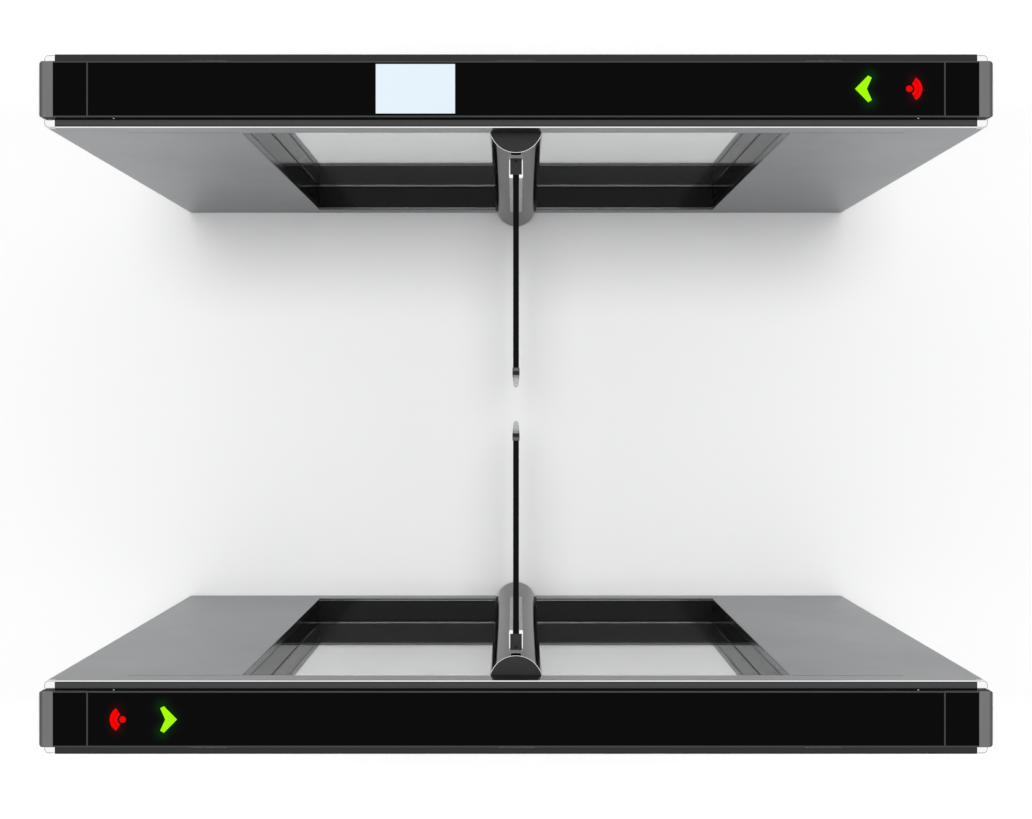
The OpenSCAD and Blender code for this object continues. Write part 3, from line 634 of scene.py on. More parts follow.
def fine_texture() -> bpy.types.NodeTree:
    """The even grain of powder coat, moulded plastic or rubber."""
    def wire(s: Shader, given: Sockets) -> Sockets:
        """Adds the group's nodes."""
        cells = s.add("ShaderNodeTexVoronoi", {
            "Vector": given["Vector"], "Scale": given["Scale"]}, feature="SMOOTH_F1")
        soft = s.noise(given["Vector"], s.math("MULTIPLY", given["Scale"], 0.6), 2, 0.5)
        height = s.math("ADD", s.math("MULTIPLY", cells.outputs["Distance"], 0.6), soft)
        return {"Grain": soft, "Height": height}

    return shared_group(
        "fine_texture", {"Vector": (0.0, 0.0, 0.0), "Scale": 900.0}, ("Grain", "Height"), wire)


def handling() -> bpy.types.NodeTree:
    """Faint wiping marks and prints that change how sharp a polished surface reflects."""
    def wire(s: Shader, given: Sockets) -> Sockets:
        """Adds the group's nodes."""
        stretched = s.vector("MULTIPLY", given["Vector"], (1.0, 2.6, 1.0)).outputs[0]
        wiped = s.noise(stretched, given["Size"], 4, 0.65)
        marks = s.add("ShaderNodeMapRange", {"Value": wiped, "From Min": 0.5, "From Max": 0.75})
        return {"Marks": s.math("MULTIPLY", marks.outputs[0], given["Amount"])}

    return shared_group(
        "handling", {"Vector": (0.0, 0.0, 0.0), "Size": 9.0, "Amount": 1.0}, ("Marks",), wire)


def bar_glow() -> bpy.types.NodeTree:
    """Light that spreads in dark glass round a straight bar of light."""
    def wire(s: Shader, given: Sockets) -> Sockets:
        """Adds the group's nodes."""
        reach = s.vector("SUBTRACT", given["Far"], given["Near"]).outputs[0]
        away = s.vector("SUBTRACT", given["Vector"], given["Near"]).outputs[0]
        along = s.vector("DOT_PRODUCT", away, reach).outputs["Value"]
        whole = s.vector("DOT_PRODUCT", reach, reach).outputs["Value"]
        share = s.add("ShaderNodeMapRange", {"Value": s.math("DIVIDE", along, whole)}).outputs[0]
        foot = s.feed(s.vector("SCALE", reach), {"Scale": share})
        rest = s.vector("SUBTRACT", away, foot.outputs[0]).outputs[0]
        gap = s.math("DIVIDE", s.vector("LENGTH", rest).outputs["Value"], given["Spread"])
        fall = s.math("EXPONENT", s.math("MULTIPLY", s.math("MULTIPLY", gap, gap), -1.0))
        return {"Glow": fall}

    return shared_group(
        "bar_glow", {"Vector": (0.0, 0.0, 0.0), "Near": (0.0, 0.0, 0.0), "Far": (0.01, 0.0, 0.0),
                     "Spread": 0.006}, ("Glow",), wire)


class Grain(Enum):
    """The way a ground surface was brushed, as line scales along X, Y and Z."""

    PASSAGE = (1.6, 640.0, 640.0)
    LANE = (640.0, 1.6, 640.0)
    UPRIGHT = (640.0, 640.0, 1.6)
    ROUND = (35.0, 35.0, 900.0)


def new_material(name: str) -> Tuple[bpy.types.Material, Shader, bpy.types.Node]:
    """Starts a material with a Principled shader.

    Args:
        name: Name of the material.

    Returns:
        The material, the tool that adds its nodes, and its shader node.
    """
    material = bpy.data.materials.new(name)
    material.use_nodes = True
    material.node_tree.nodes.clear()
    shader = Shader(material.node_tree)
    surface = shader.add("ShaderNodeBsdfPrincipled")
    shader.add("ShaderNodeOutputMaterial", {"Surface": surface.outputs[0]})
    return material, shader, surface


@dataclass(frozen=True)
class Metal:
    """Bare metal: its colour, how sharp it reflects, and the marks of its finishing."""

    name: str
    colour: Colour
    roughness: float
    grain: Grain = Grain.PASSAGE
    depth: float = 0.00002
    cloud: float = 0.08
    edge: float = 1.0

    def material(self) -> bpy.types.Material:
        """Builds the material."""
        material, s, surface = new_material(self.name)
        place = s.place()
        lines = s.group(ground_grain(), Vector=place, Scale=self.grain.value)
        patches = s.group(clouding(), Vector=place)
        mask = s.blend(patches.outputs[0], 0.75, lines.outputs["Lines"])
        dark = tuple(part * (1 - self.cloud) for part in self.colour)
        light = tuple(min(1, part * (1 + self.cloud)) for part in self.colour)
        s.feed(surface, {
            "Base Color": s.tint(mask, dark, light),
            "Roughness": s.spread(mask, self.roughness * 1.12, self.roughness * 0.88),
            "Normal": s.bump(lines.outputs["Height"], self.depth, 0.6),
            "Metallic": 1,
            "Specular Tint": (self.edge, self.edge, self.edge, 1)})
        return material


@dataclass(frozen=True)
class Coated:
    """Paint, powder coat, moulded plastic or rubber, with its fine texture."""

    name: str
    colour: Colour
    roughness: float
    scale: float = 900.0
    depth: float = 0.00003
    gloss: float = 0.5
    vary: float = 0.12

    def material(self) -> bpy.types.Material:
        """Builds the material."""
        material, s, surface = new_material(self.name)
        place = s.place()
        texture = s.group(fine_texture(), Vector=place, Scale=self.scale)
        patches = s.group(clouding(), Vector=place, Size=7.0)
        mask = s.blend(patches.outputs[0], 0.6, texture.outputs["Grain"])
        dark = tuple(part * (1 - self.vary) for part in self.colour)
        light = tuple(part * (1 + self.vary) for part in self.colour)
        s.feed(surface, {
            "Base Color": s.tint(mask, dark, light),
            "Roughness": s.spread(mask, self.roughness * 1.1, self.roughness * 0.9),
            "Normal": s.bump(texture.outputs["Height"], self.depth, 0.5),
            "Specular IOR Level": self.gloss})
        return material


@dataclass(frozen=True)
class ClearGlass:
    """Glass or clear plastic that lets the lamps through."""

    name: str
    colour: Colour
    roughness: float = 0.004
    refraction: float = 1.5
    marks: float = 0.03
    shade: float = 0.9
    clear: float = 1.0

    def material(self) -> bpy.types.Material:
        """Builds the material."""
        material, s, surface = new_material(self.name)
        prints = s.group(handling(), Vector=s.place(), Amount=self.marks)
        s.feed(surface, {
            "Roughness": s.math("ADD", prints.outputs[0], self.roughness),
            "Base Color": (*self.colour, 1),
            "Transmission Weight": self.clear,
            "IOR": self.refraction})
        clear = s.add("ShaderNodeBsdfTransparent", {
            "Color": (*(part * self.shade for part in self.colour), 1)})
        path = s.add("ShaderNodeLightPath")
        both = s.add("ShaderNodeMixShader", {
            0: path.outputs["Is Shadow Ray"], 1: surface.outputs[0], 2: clear.outputs[0]})
        output = next(n for n in s.tree.nodes if n.type == "OUTPUT_MATERIAL")
        s.feed(output, {"Surface": both.outputs[0]})
        return material


@dataclass(frozen=True)
class Lit:
    """A surface that glows, such as a light guide or a display."""

    name: str
    colour: Colour
    size: float = 60.0
    vary: float = 0.04
    roughness: float = 0.25

    def material(self) -> bpy.types.Material:
        """Builds the material."""
        material, s, surface = new_material(self.name)
        patches = s.group(clouding(), Vector=s.place(), Size=self.size).outputs[0]
        dim = tuple(part * (1 - self.vary) for part in self.colour)
        s.feed(surface, {
            "Emission Color": s.tint(patches, dim, self.colour),
            "Emission Strength": 1,
            "Base Color": (0, 0, 0, 1),
            "Specular IOR Level": 0.02,
            "Roughness": s.spread(patches, self.roughness, self.roughness * 1.2)})
        return material


@dataclass(frozen=True)
class GateLook:
    """All finishes of the gate."""

    steel: Metal = Metal(
        "brushed_steel", (0.43, 0.44, 0.462), 0.16, depth=0.00001, cloud=0.13, edge=0.57)
    # A dark steel for the sill's front band, as painted shade of the window recess.
    ledge: Metal = Metal("ledge_steel_painted_shade", (0.13, 0.132, 0.136), 0.2, depth=0.00001)
    beam: Metal = Metal("beam_steel", (0.42, 0.43, 0.44), 0.42)
    polished: Metal = Metal(
        "polished_steel", (0.93, 0.93, 0.93), 0.12, depth=0.000005, cloud=0.02, edge=0.5)
    mirror: Metal = Metal(
        "mirror_steel", (0.36, 0.365, 0.37), 0.03, Grain.UPRIGHT, 0.000002, 0.04, edge=0.55)
    column: Metal = Metal(
        "column_steel", (0.24, 0.243, 0.248), 0.06, Grain.UPRIGHT, 0.000003, 0.04, edge=0.49)
    clamp: Metal = Metal(
        "clamp_steel", (0.95, 0.95, 0.95), 0.12, Grain.UPRIGHT, 0.000005, 0.03, edge=0.43)
    bearing: Metal = Metal(
        "bearing_steel", (0.6, 0.6, 0.61), 0.22, Grain.ROUND, 0.000008, 0.05)
    aluminium: Metal = Metal(
        "profile_aluminium", (0.5, 0.51, 0.52), 0.36, Grain.UPRIGHT, 0.00001, 0.05)
    cap: Metal = Metal("cap_aluminium", (0.18, 0.18, 0.18), 0.09, Grain.LANE, 0.000004, 0.05)
    trim: Coated = Coated("rim_trim", (0.036, 0.037, 0.038), 0.5, gloss=0.2)
    lid: Coated = Coated("lid_frame", (0.035, 0.035, 0.036), 0.42, gloss=0.4)
    column_cap: Coated = Coated("column_cap", (0.026, 0.026, 0.027), 0.4, gloss=0.25)
    deck: Coated = Coated("black_deck", (0.009, 0.009, 0.0095), 0.08, 1200.0, 0.000002, 0.15)
    motor: Coated = Coated("motor_paint", (0.05, 0.055, 0.06), 0.45, 500.0)
    plastic: Coated = Coated("dark_plastic", (0.012, 0.012, 0.012), 0.45, 1400.0, gloss=0.2)
    grey_plastic: Coated = Coated("grey_plastic", (0.1, 0.1, 0.1), 0.45, 1400.0, gloss=0.3)
    # Black rubber of the clamp gaskets; the end caps' sides also wear it as painted shade of the
    # gap round the caps.
    rubber: Coated = Coated("black_rubber", (0.035, 0.035, 0.035), 0.7, 1800.0, 0.00005, 0.2)
    black_profile: Coated = Coated(
        "black_profile", (0.012, 0.012, 0.013), 0.3, 1200.0, 0.00001, 0.2)
    edge: Coated = Coated("glass_edge", (0.003, 0.003, 0.003), 0.3, 2500.0, 0.000005, 0.05)
    pane: ClearGlass = ClearGlass("clear_glass", (0.77, 0.775, 0.775), shade=0.5, clear=0.98)
    bumper: ClearGlass = ClearGlass("clear_bumper", (0.9, 0.91, 0.91), 0.2, 1.45)
    screen: Lit = Lit("display_screen", linear(231, 244, 253), 12.0, 0.02)
    arrow: Lit = Lit("arrow_light", linear(166, 255, 4), 80.0, 0.03)
    reader: Lit = Lit("reader_light", linear(255, 0, 0), 80.0, 0.06)

    def materials(self) -> Dict[str, bpy.types.Material]:
        """Builds every finish."""
        made = {key: value.material() for key, value in vars(self).items()}
        made["galvanised"] = galvanised_steel()
        made["coil"] = brake_coil()
        made["board"] = circuit_board()
        return made


def galvanised_steel() -> bpy.types.Material:
    """Zinc-coated steel of the base plates, with its crystals."""
    material, s, surface = new_material("base_steel")
    flakes = s.add("ShaderNodeTexVoronoi", {"Vector": s.place(), "Scale": 90.0})
    grey = s.math("MULTIPLY", s.vector("LENGTH", flakes.outputs["Color"]).outputs["Value"], 0.55)
    s.feed(surface, {
        "Base Color": s.tint(grey, (0.3, 0.31, 0.32), (0.46, 0.47, 0.48)),
        "Roughness": s.spread(grey, 0.32, 0.5),
        "Metallic": 1})
    return material


def brake_coil() -> bpy.types.Material:
    """Copper winding of the brake, its turns lying one above the other."""
    material, s, surface = new_material("brake_coil")
    pitch = 0.8 * MM
    turns = s.math("SINE", s.math("MULTIPLY", s.part(s.place(), "Z"), 2 * math.pi / pitch))
    mask = s.add("ShaderNodeMapRange", {"Value": turns, "From Min": -1.0}).outputs[0]
    s.feed(surface, {
        "Base Color": s.tint(mask, (0.16, 0.05, 0.02), (0.6, 0.22, 0.09)),
        "Roughness": s.spread(mask, 0.5, 0.3),
        "Normal": s.bump(mask, 0.2 * MM),
        "Metallic": 0.8})
    return material


def trim_with_painted_gap_shade(start: float, end: float) -> bpy.types.Material:
    """Dark rim trim with a black band of painted shade under the lid's edge.

    Args:
        start: How far from the lane's middle the painted shade band begins.
        end: How far from the lane's middle it ends.

    Returns:
        The material.
    """
    material, s, surface = new_material("rim_trim_painted_gap_shade")
    # The lane side is a lighter grey than the outer side: painted light that makes up for the shade
    # of the lid's overhang there.
    lane_tone, outer_tone, gap_shade_share = 0.058, 0.026, 0.03
    place = s.place()
    texture = s.group(fine_texture(), Vector=place)
    away = s.math("ABSOLUTE", s.part(place, "Y"))
    # Band of painted shade under the lid's edge: the trim is darkened there to near black.
    gasket = s.math("MULTIPLY", s.math("GREATER_THAN", away, start), s.math("LESS_THAN", away, end))
    tone = s.spread(s.math("GREATER_THAN", away, end), lane_tone, outer_tone)
    grain = s.spread(texture.outputs["Grain"], 0.88, 1.12)
    shade = s.math("MULTIPLY", s.math("MULTIPLY", tone, grain), s.spread(gasket, 1.0, gap_shade_share))
    s.feed(surface, {
        "Base Color": s.grey(shade),
        "Roughness": s.spread(gasket, 0.5, 0.9),
        "Normal": s.bump(texture.outputs["Height"], 0.03 * MM, 0.5),
        "Specular IOR Level": 0.2})
    return material


def circuit_board() -> bpy.types.Material:
    """Green solder mask with copper tracks under it."""
    material, s, surface = new_material("circuit_board")
    place = s.place()
    tracks = s.add("ShaderNodeTexBrick", {"Vector": place, "Scale": 140.0, "Mortar Size": 0.12})
    mask = s.math("MULTIPLY", tracks.outputs["Fac"], s.noise(place, 60.0, 1))
    s.feed(surface, {
        "Base Color": s.tint(mask, (0.006, 0.09, 0.03), (0.03, 0.24, 0.09)),
        "Roughness": s.spread(mask, 0.3, 0.45),
        "Normal": s.bump(mask, 0.05 * MM)})
    return material


@dataclass(frozen=True)
class CabinetPlan:
    """Where the left cabinet stands, read from the frame."""

    half_l: float
    face_y: float
    back_y: float
    rim_z: float
    half_window: float
    sill_z: float
    head_z: float
    axis_y: float
    tube_r: float
    lid_low: Vector
    lid_high: Vector

    @classmethod
    def read(cls) -> "CabinetPlan":
        """Reads the plan from the boxes of the nodes."""
        lane_low, lane_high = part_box("left_lane_panel")
        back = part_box("left_outer_panel")[1].y
        pane_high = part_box("centre_panes")[1]
        deck_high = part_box("plinth_decks")[1]
        tube_low, tube_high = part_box("left_column_tube")
        lid_low, lid_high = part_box("left_lid_frame")
        return cls(
            half_l=lane_high.x, face_y=lane_low.y, back_y=back, rim_z=lane_high.z,
            half_window=pane_high.x + GAP, sill_z=deck_high.z + 2 * MM,
            head_z=pane_high.z - MM, axis_y=(tube_low.y + tube_high.y) / 2,
            tube_r=(tube_high.x - tube_low.x) / 2, lid_low=lid_low, lid_high=lid_high)


@dataclass
class SteelShell:
    """The folded steel sheets of a cabinet, its polished corner caps and its black deck."""

    plan: CabinetPlan
    look: Dict[str, bpy.types.Material]
    sheet: float = 2 * MM
    wrap: float = 20 * MM
    corner_r: float = 8 * MM
    bend_r: float = 1.2 * MM
    fold: float = 14.5 * MM
    ledge: float = 5 * MM
    rim_fold: float = 4 * MM
    outer_fold: float = 2.4 * MM
    bright_rim: float = 2 * MM
    bright_ledge: float = 3.9 * MM
    joint: float = 0.9 * MM
    cap_l: float = 19 * MM
    cap_h: float = 10 * MM
    cap_round: float = 4 * MM
    column_gap: float = 3 * MM
    pin_hole: float = 6 * MM
    groove_end: float = 643 * MM
    groove_h: float = 1.5 * MM
    groove_d: float = 0.5 * MM
    broken: float = 0.15 * MM
    end_fold: float = 12 * MM
    deck_foot: float = 4 * MM
    web_in: float = 30 * MM
    web_gap: float = 13 * MM

    def face_sheet(self, name: str, lane: bool) -> Workpiece:
        """Folds the sheet of one long face, with its window.

        Args:
            name: Name of the piece.
            lane: True for the sheet beside the lane, False for the one on the outer side.

        Returns:
            The sheet with its wall.
        """
        p = self.plan
        y = p.face_y if lane else p.back_y
        way = 1 if lane else -1
        top = p.rim_z - self.cap_h
        strip = p.half_l - self.cap_l
        sill = p.sill_z if lane else p.sill_z - 2 * self.sheet
        first = self.ledge if lane else self.fold
        fold_end = y + way * first
        rim = self.rim_fold if lane else self.outer_fold
        bend = self.bend_r if lane else 2 * self.bend_r
        piece = Workpiece.drawn(name, [
            (-p.half_l, y, 0), (p.half_l, y, 0), (p.half_l, y, top), (-p.half_l, y, top)]).fill()
        for x in (p.half_window, strip):
            piece.divide((x, y, 0), (1, 0, 0)).divide((-x, y, 0), (1, 0, 0))
        for z in (sill, p.head_z):
            piece.divide((0, y, z), (0, 0, 1))
        piece.remove(lambda c, n: abs(c.x) < p.half_window and sill < c.z < p.head_z)
        piece.extrude(
            Kind.EDGE, lambda c, d: near(c.z, top) and abs(c.x) < strip, (0, 0, self.cap_h))
        piece.extrude(Kind.EDGE, lambda c, d: near(c.z, p.rim_z), (0, way * rim, 0))
        piece.extrude(Kind.EDGE, lambda c, d: near(abs(c.x), p.half_l), (0, way * self.wrap, 0))

        def side_or_head(c: Vector) -> bool:
            """Tells whether a place is on the window's sides or head."""
            inside = sill - TOUCH < c.z < p.head_z + TOUCH and abs(c.x) < p.half_window + TOUCH
            return inside and (near(abs(c.x), p.half_window) or near(c.z, p.head_z))

        def on_window(c: Vector) -> bool:
            """Tells whether a place is where the window's edge folds in."""
            return side_or_head(c) or (lane and near(c.z, sill) and abs(c.x) < p.half_window)

        def near_sill(c: Vector) -> bool:
            """Tells whether a place is at the corners that the bend leaves at the sill."""
            return abs(c.z - sill) < bend and abs(c.y - y) < bend

        piece.extrude(Kind.EDGE, lambda c, d: on_window(c), (0, way * first, 0))
        if lane:
            piece.extrude(
                Kind.EDGE, lambda c, d: near(c.y, fold_end) and side_or_head(c) and abs(d.y) < 0.5,
                (0, way * (self.fold - self.joint - first), 0))
            piece.extrude(
                Kind.EDGE, lambda c, d: near(c.z, sill) and near(abs(c.x), p.half_window)
                and abs(d.y) > 0.5 and abs(c.y - y) > self.ledge, (0, 0, -self.sheet))
        piece.round_edges(
            self.corner_r,
            lambda c, d: near(abs(c.x), p.half_l) and near(c.y, y) and abs(d.z) > 0.5, 8)
        piece.round_edges(bend, lambda c, d: near(c.y, y) and on_window(c), 4)
        if not lane:
            piece.remove(lambda c, n: abs(n.z) > 0.3 and near_sill(c))
        piece.round_edges(MM, lambda c, d: near(c.y, y) and near(c.z, p.rim_z), 4)
        piece.face((0, -way, 0)).thicken(self.sheet)
        piece.cut(*self.cutters(lane), crossing=True).weld()
        piece.soften(self.broken, 1, 50)
        for step in (self.bright_rim, self.bright_ledge):
            piece.divide((0, y + way * step, 0), (0, 1, 0))
        piece.paint(*(self.look[key] for key in ("steel", "polished", "trim", "ledge")))

        def depth(c: Vector) -> float:
            """Measures how far in from the face a place is."""
            return abs(c.y - y)

        def on_rim(c: Vector, n: Vector) -> bool:
            """Tells whether a face is on top of the rim, between the corner caps."""
            return n.z > 0.3 and c.z > p.rim_z - MM and abs(c.x) < strip

        if lane:
            piece.paint_faces(1, lambda c, n: on_rim(c, n) and depth(c) < self.bright_rim)
            # The sill's front band gets the dark ledge steel, as painted shade of the window
            # recess.
            piece.paint_faces(3, lambda c, n: n.z > 0.15 and abs(c.z - sill) < 1.5 * MM
                              and abs(c.x) < p.half_window and depth(c) < self.bright_ledge)
        return piece.paint_faces(
            2, lambda c, n: on_rim(c, n) and (not lane or depth(c) > self.bright_rim))

    def cutters(self, lane: bool) -> List[Workpiece]:
        """Makes what is cut out of a face sheet: its seam line and the holes for the column."""
        p = self.plan
        floor_z = p.head_z + self.sheet
        wall_x = p.half_window + self.sheet
        y = p.face_y if lane else p.back_y
        tools = []
        for way in (-1, 1):
            ends = sorted((way * wall_x, way * self.groove_end))
            tools.append(Workpiece.block(
                "seam", (ends[0], y - self.groove_d, floor_z - self.groove_h),
                (ends[1], y + self.groove_d, floor_z)))
        if lane:
            tools.append(Workpiece.cylinder(
                "hole", (0, p.axis_y, 0), p.tube_r + self.column_gap, 3 * p.sill_z, sides=128))
            tools.append(Workpiece.cylinder(
                "pin", (0, p.axis_y, p.head_z), self.pin_hole, 8 * MM, sides=48))
        return tools

    def end_sheet(self, name: str) -> Workpiece:
        """Folds the flat sheet that closes one end, with its fold under the end cap."""
        p = self.plan
        low, high = p.face_y + self.wrap + GAP, p.back_y - self.wrap - GAP
        piece = Workpiece.drawn(name, [
            (p.half_l, low, 0), (p.half_l, high, 0), (p.half_l, high, p.rim_z),
            (p.half_l, low, p.rim_z)]).fill()
        piece.extrude(Kind.EDGE, lambda c, d: near(c.z, p.rim_z), (-self.end_fold, 0, 0))
        piece.round_edges(
            2 * self.bend_r, lambda c, d: near(c.z, p.rim_z) and near(c.x, p.half_l), 4)
        piece.face((1, 0, 0)).thicken(self.sheet)
        return piece.soften(self.broken, 1, 50).paint(self.look["steel"])

    def corner_cap(self, name: str) -> Workpiece:
        """Shapes one polished corner cap, rounded as the cabinet's corner."""
        p = self.plan
        piece = Workpiece.block(
            name, (p.half_l - self.cap_l + GAP, p.face_y, p.rim_z - self.cap_h),
            (p.half_l, p.face_y + self.wrap, p.rim_z))
        piece.round_edges(
            self.corner_r, lambda c, d: near(c.x, p.half_l) and near(c.y, p.face_y), 10)
        centre = Vector((p.half_l - self.corner_r, p.face_y + self.corner_r, 0))

        def outer(c: Vector) -> bool:
            """Tells whether a place is on the outside of the cabinet's corner."""
            out = c - centre
            on_arc = out.x > 0 and out.y < 0 and out.xy.length > self.corner_r - 0.2 * MM
            return on_arc or near(c.x, p.half_l) or near(c.y, p.face_y)

        piece.round_edges(
            self.cap_round, lambda c, d: near(c.z, p.rim_z) and abs(d.z) < 0.5 and outer(c), 8)
        return piece.soften(0.3 * MM, 2, 50).paint(self.look["polished"])

    def deck(self, name: str) -> Workpiece:
        """Makes the black deck of the recess with its webs, cut away round the column."""
        p = self.plan
        half = p.half_window - GAP
        top, low = p.sill_z - self.sheet, self.deck_foot
        web_start = p.tube_r + self.web_gap
        under = top - self.sheet + CUT / 10
        piece = Workpiece.block(
            name, (-half, p.face_y + self.sheet, top - self.sheet), (half, p.back_y, top))
        back = p.back_y - self.web_in
        piece.fuse(Workpiece.block("web", (-half, back, low), (half, back + self.sheet, under)))
        front = p.face_y + self.web_in
        for ends in ((-half, -web_start), (web_start, half)):
            piece.fuse(Workpiece.block(
                "web", (ends[0], front - self.sheet, low), (ends[1], front, under)))
        piece.cut(Workpiece.cylinder(
            "hole", (0, p.axis_y, 0), p.tube_r + self.column_gap, 3 * top, sides=128))
        return piece.soften(0.2 * MM, 1, 50).paint(self.look["deck"])

    def build(self) -> None:
        """Makes the shell's pieces for both cabinets."""
        p = self.plan
        middle = (p.face_y + p.back_y) / 2
        self.face_sheet("lane_sheet", True).fit_pair(
            "lane_sheet", "cabinets", "brushed_steel", "{side}_lane_panel")
        self.face_sheet("outer_sheet", False).fit_pair(
            "outer_sheet", "cabinets", "brushed_steel", "{side}_outer_panel")
        self.deck("deck").fit_pair("deck", "cabinets", "black_deck", "plinth_decks")
        self.end_sheet("end_sheet").fit_ends("end_sheet", "brushed_steel", "end_panels")
        cap = self.corner_cap("corner_cap")
        places = [("a", False, False), ("b", True, False), ("c", False, True), ("d", True, True)]
        for letter, far, outer in places:
            one = cap.copy(f"corner_{letter}")
            if far:
                one.mirrored(0, 0)
            if outer:
                one.mirrored(1, middle)
            one.fit_pair(f"corner_{letter}", "cabinets", "polished_steel", "corner_caps")
        cap.discard()


@dataclass
class Recess:
    """The fixed glass of a window recess."""

    plan: CabinetPlan
    look: Dict[str, bpy.types.Material]
    pane_t: float = 12 * MM
    pane_in: float = 32 * MM
    arris: float = 0.8 * MM

    def pane(self, name: str) -> Workpiece:
        """Makes one pane with ground edges."""
        p = self.plan
        middle = (p.face_y + p.back_y) / 2
        piece = Workpiece.block(
            name, (self.pane_in, middle - self.pane_t / 2, p.sill_z),
            (p.half_window - GAP, middle + self.pane_t / 2, p.head_z + MM))
        return piece.soften(self.arris, 1).paint(self.look["pane"])

    def build(self) -> None:
        """Makes the panes of both cabinets."""
        self.pane("pane").fit_ends("pane", "clear_glass", "centre_panes")


@dataclass
class TurningColumn:
    """The steel column that carries a wing: tube, collar and dark cap."""

    plan: CabinetPlan
    look: Dict[str, bpy.types.Material]
    wall: float = 2.5 * MM
    collar_h: float = 28 * MM
    groove_h: float = 0.8 * MM
    groove_d: float = 0.6 * MM
    rim: float = 1.2 * MM
    seat: float = 6 * MM
    notch_w: float = 17 * MM
    pin_r: float = 4 * MM

    def centre(self, z: float) -> Point:
        """Gives a place on the column's axis."""
        return 0.0, self.plan.axis_y, z

    def tube(self) -> Workpiece:
        """Makes the tube."""
        low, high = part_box("left_column_tube")
        height = high.z - low.z
        piece = Workpiece.cylinder(
            "tube", self.centre((low.z + high.z) / 2), self.plan.tube_r, height, sides=128,
            ends="NOTHING")
        return piece.thicken(self.wall).soften(0.3 * MM, 2, 60).paint(self.look["column"])

    def collar(self) -> Workpiece:
        """Turns the collar and cuts its notch."""
        r = self.plan.tube_r
        spigot = r - self.wall - INLAY
        inner = r - self.wall - 3 * MM
        top, ease = self.collar_h, 0.35 * MM
        low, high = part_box("left_collar")
        base = high.z - top
        piece = Workpiece.turned("collar", self.centre(base), [
            (r, self.groove_h), (r, top - ease), (r - ease / 2, top - ease / 4), (r - ease, top),
            (r - self.rim + ease, top), (r - self.rim, top - ease), (r - self.rim, top - self.seat),
            (inner, top - self.seat), (inner, low.z - base), (spigot, low.z - base), (spigot, 0),
            (r - self.groove_d, 0), (r - self.groove_d, self.groove_h)], 128)
        foot, head = base + self.seat, high.z - 2 * MM
        y = self.plan.axis_y - r
        piece.cut(Workpiece.block(
            "notch", (-self.notch_w / 2, y - CUT, foot), (self.notch_w / 2, y + r / 2, head)))
        piece.soften(0.2 * MM, 1, 50).paint(self.look["column"], self.look["polished"])
        return piece.paint_faces(1, lambda c, n: c.z > high.z - MM and n.z > 0.3)

    def cap(self) -> Workpiece:
        """Turns the dark cap with the top pivot pin."""
        low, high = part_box("left_column_cap")
        r = self.plan.tube_r - self.rim - INLAY
        disc, ease = self.seat - 0.2 * MM, 0.5 * MM
        pin = high.z - low.z
        piece = Workpiece.turned("cap", self.centre(low.z), [
            (0, 0), (r, 0), (r, disc - ease), (r - ease, disc), (self.pin_r, disc),
            (self.pin_r, pin - ease), (self.pin_r - ease, pin), (0, pin)], 128, closed=False)
        return piece.paint(self.look["column_cap"])

    def build(self) -> None:
        """Makes both columns."""
        self.tube().fit_pair("tube", "{side}_wing", "column_steel", "{side}_column_tube")
        self.collar().fit_pair("collar_ring", "{side}_wing", "column_steel", "{side}_collar")
        self.cap().fit_pair("cap_disc", "{side}_wing", "column_cap", "{side}_column_cap")


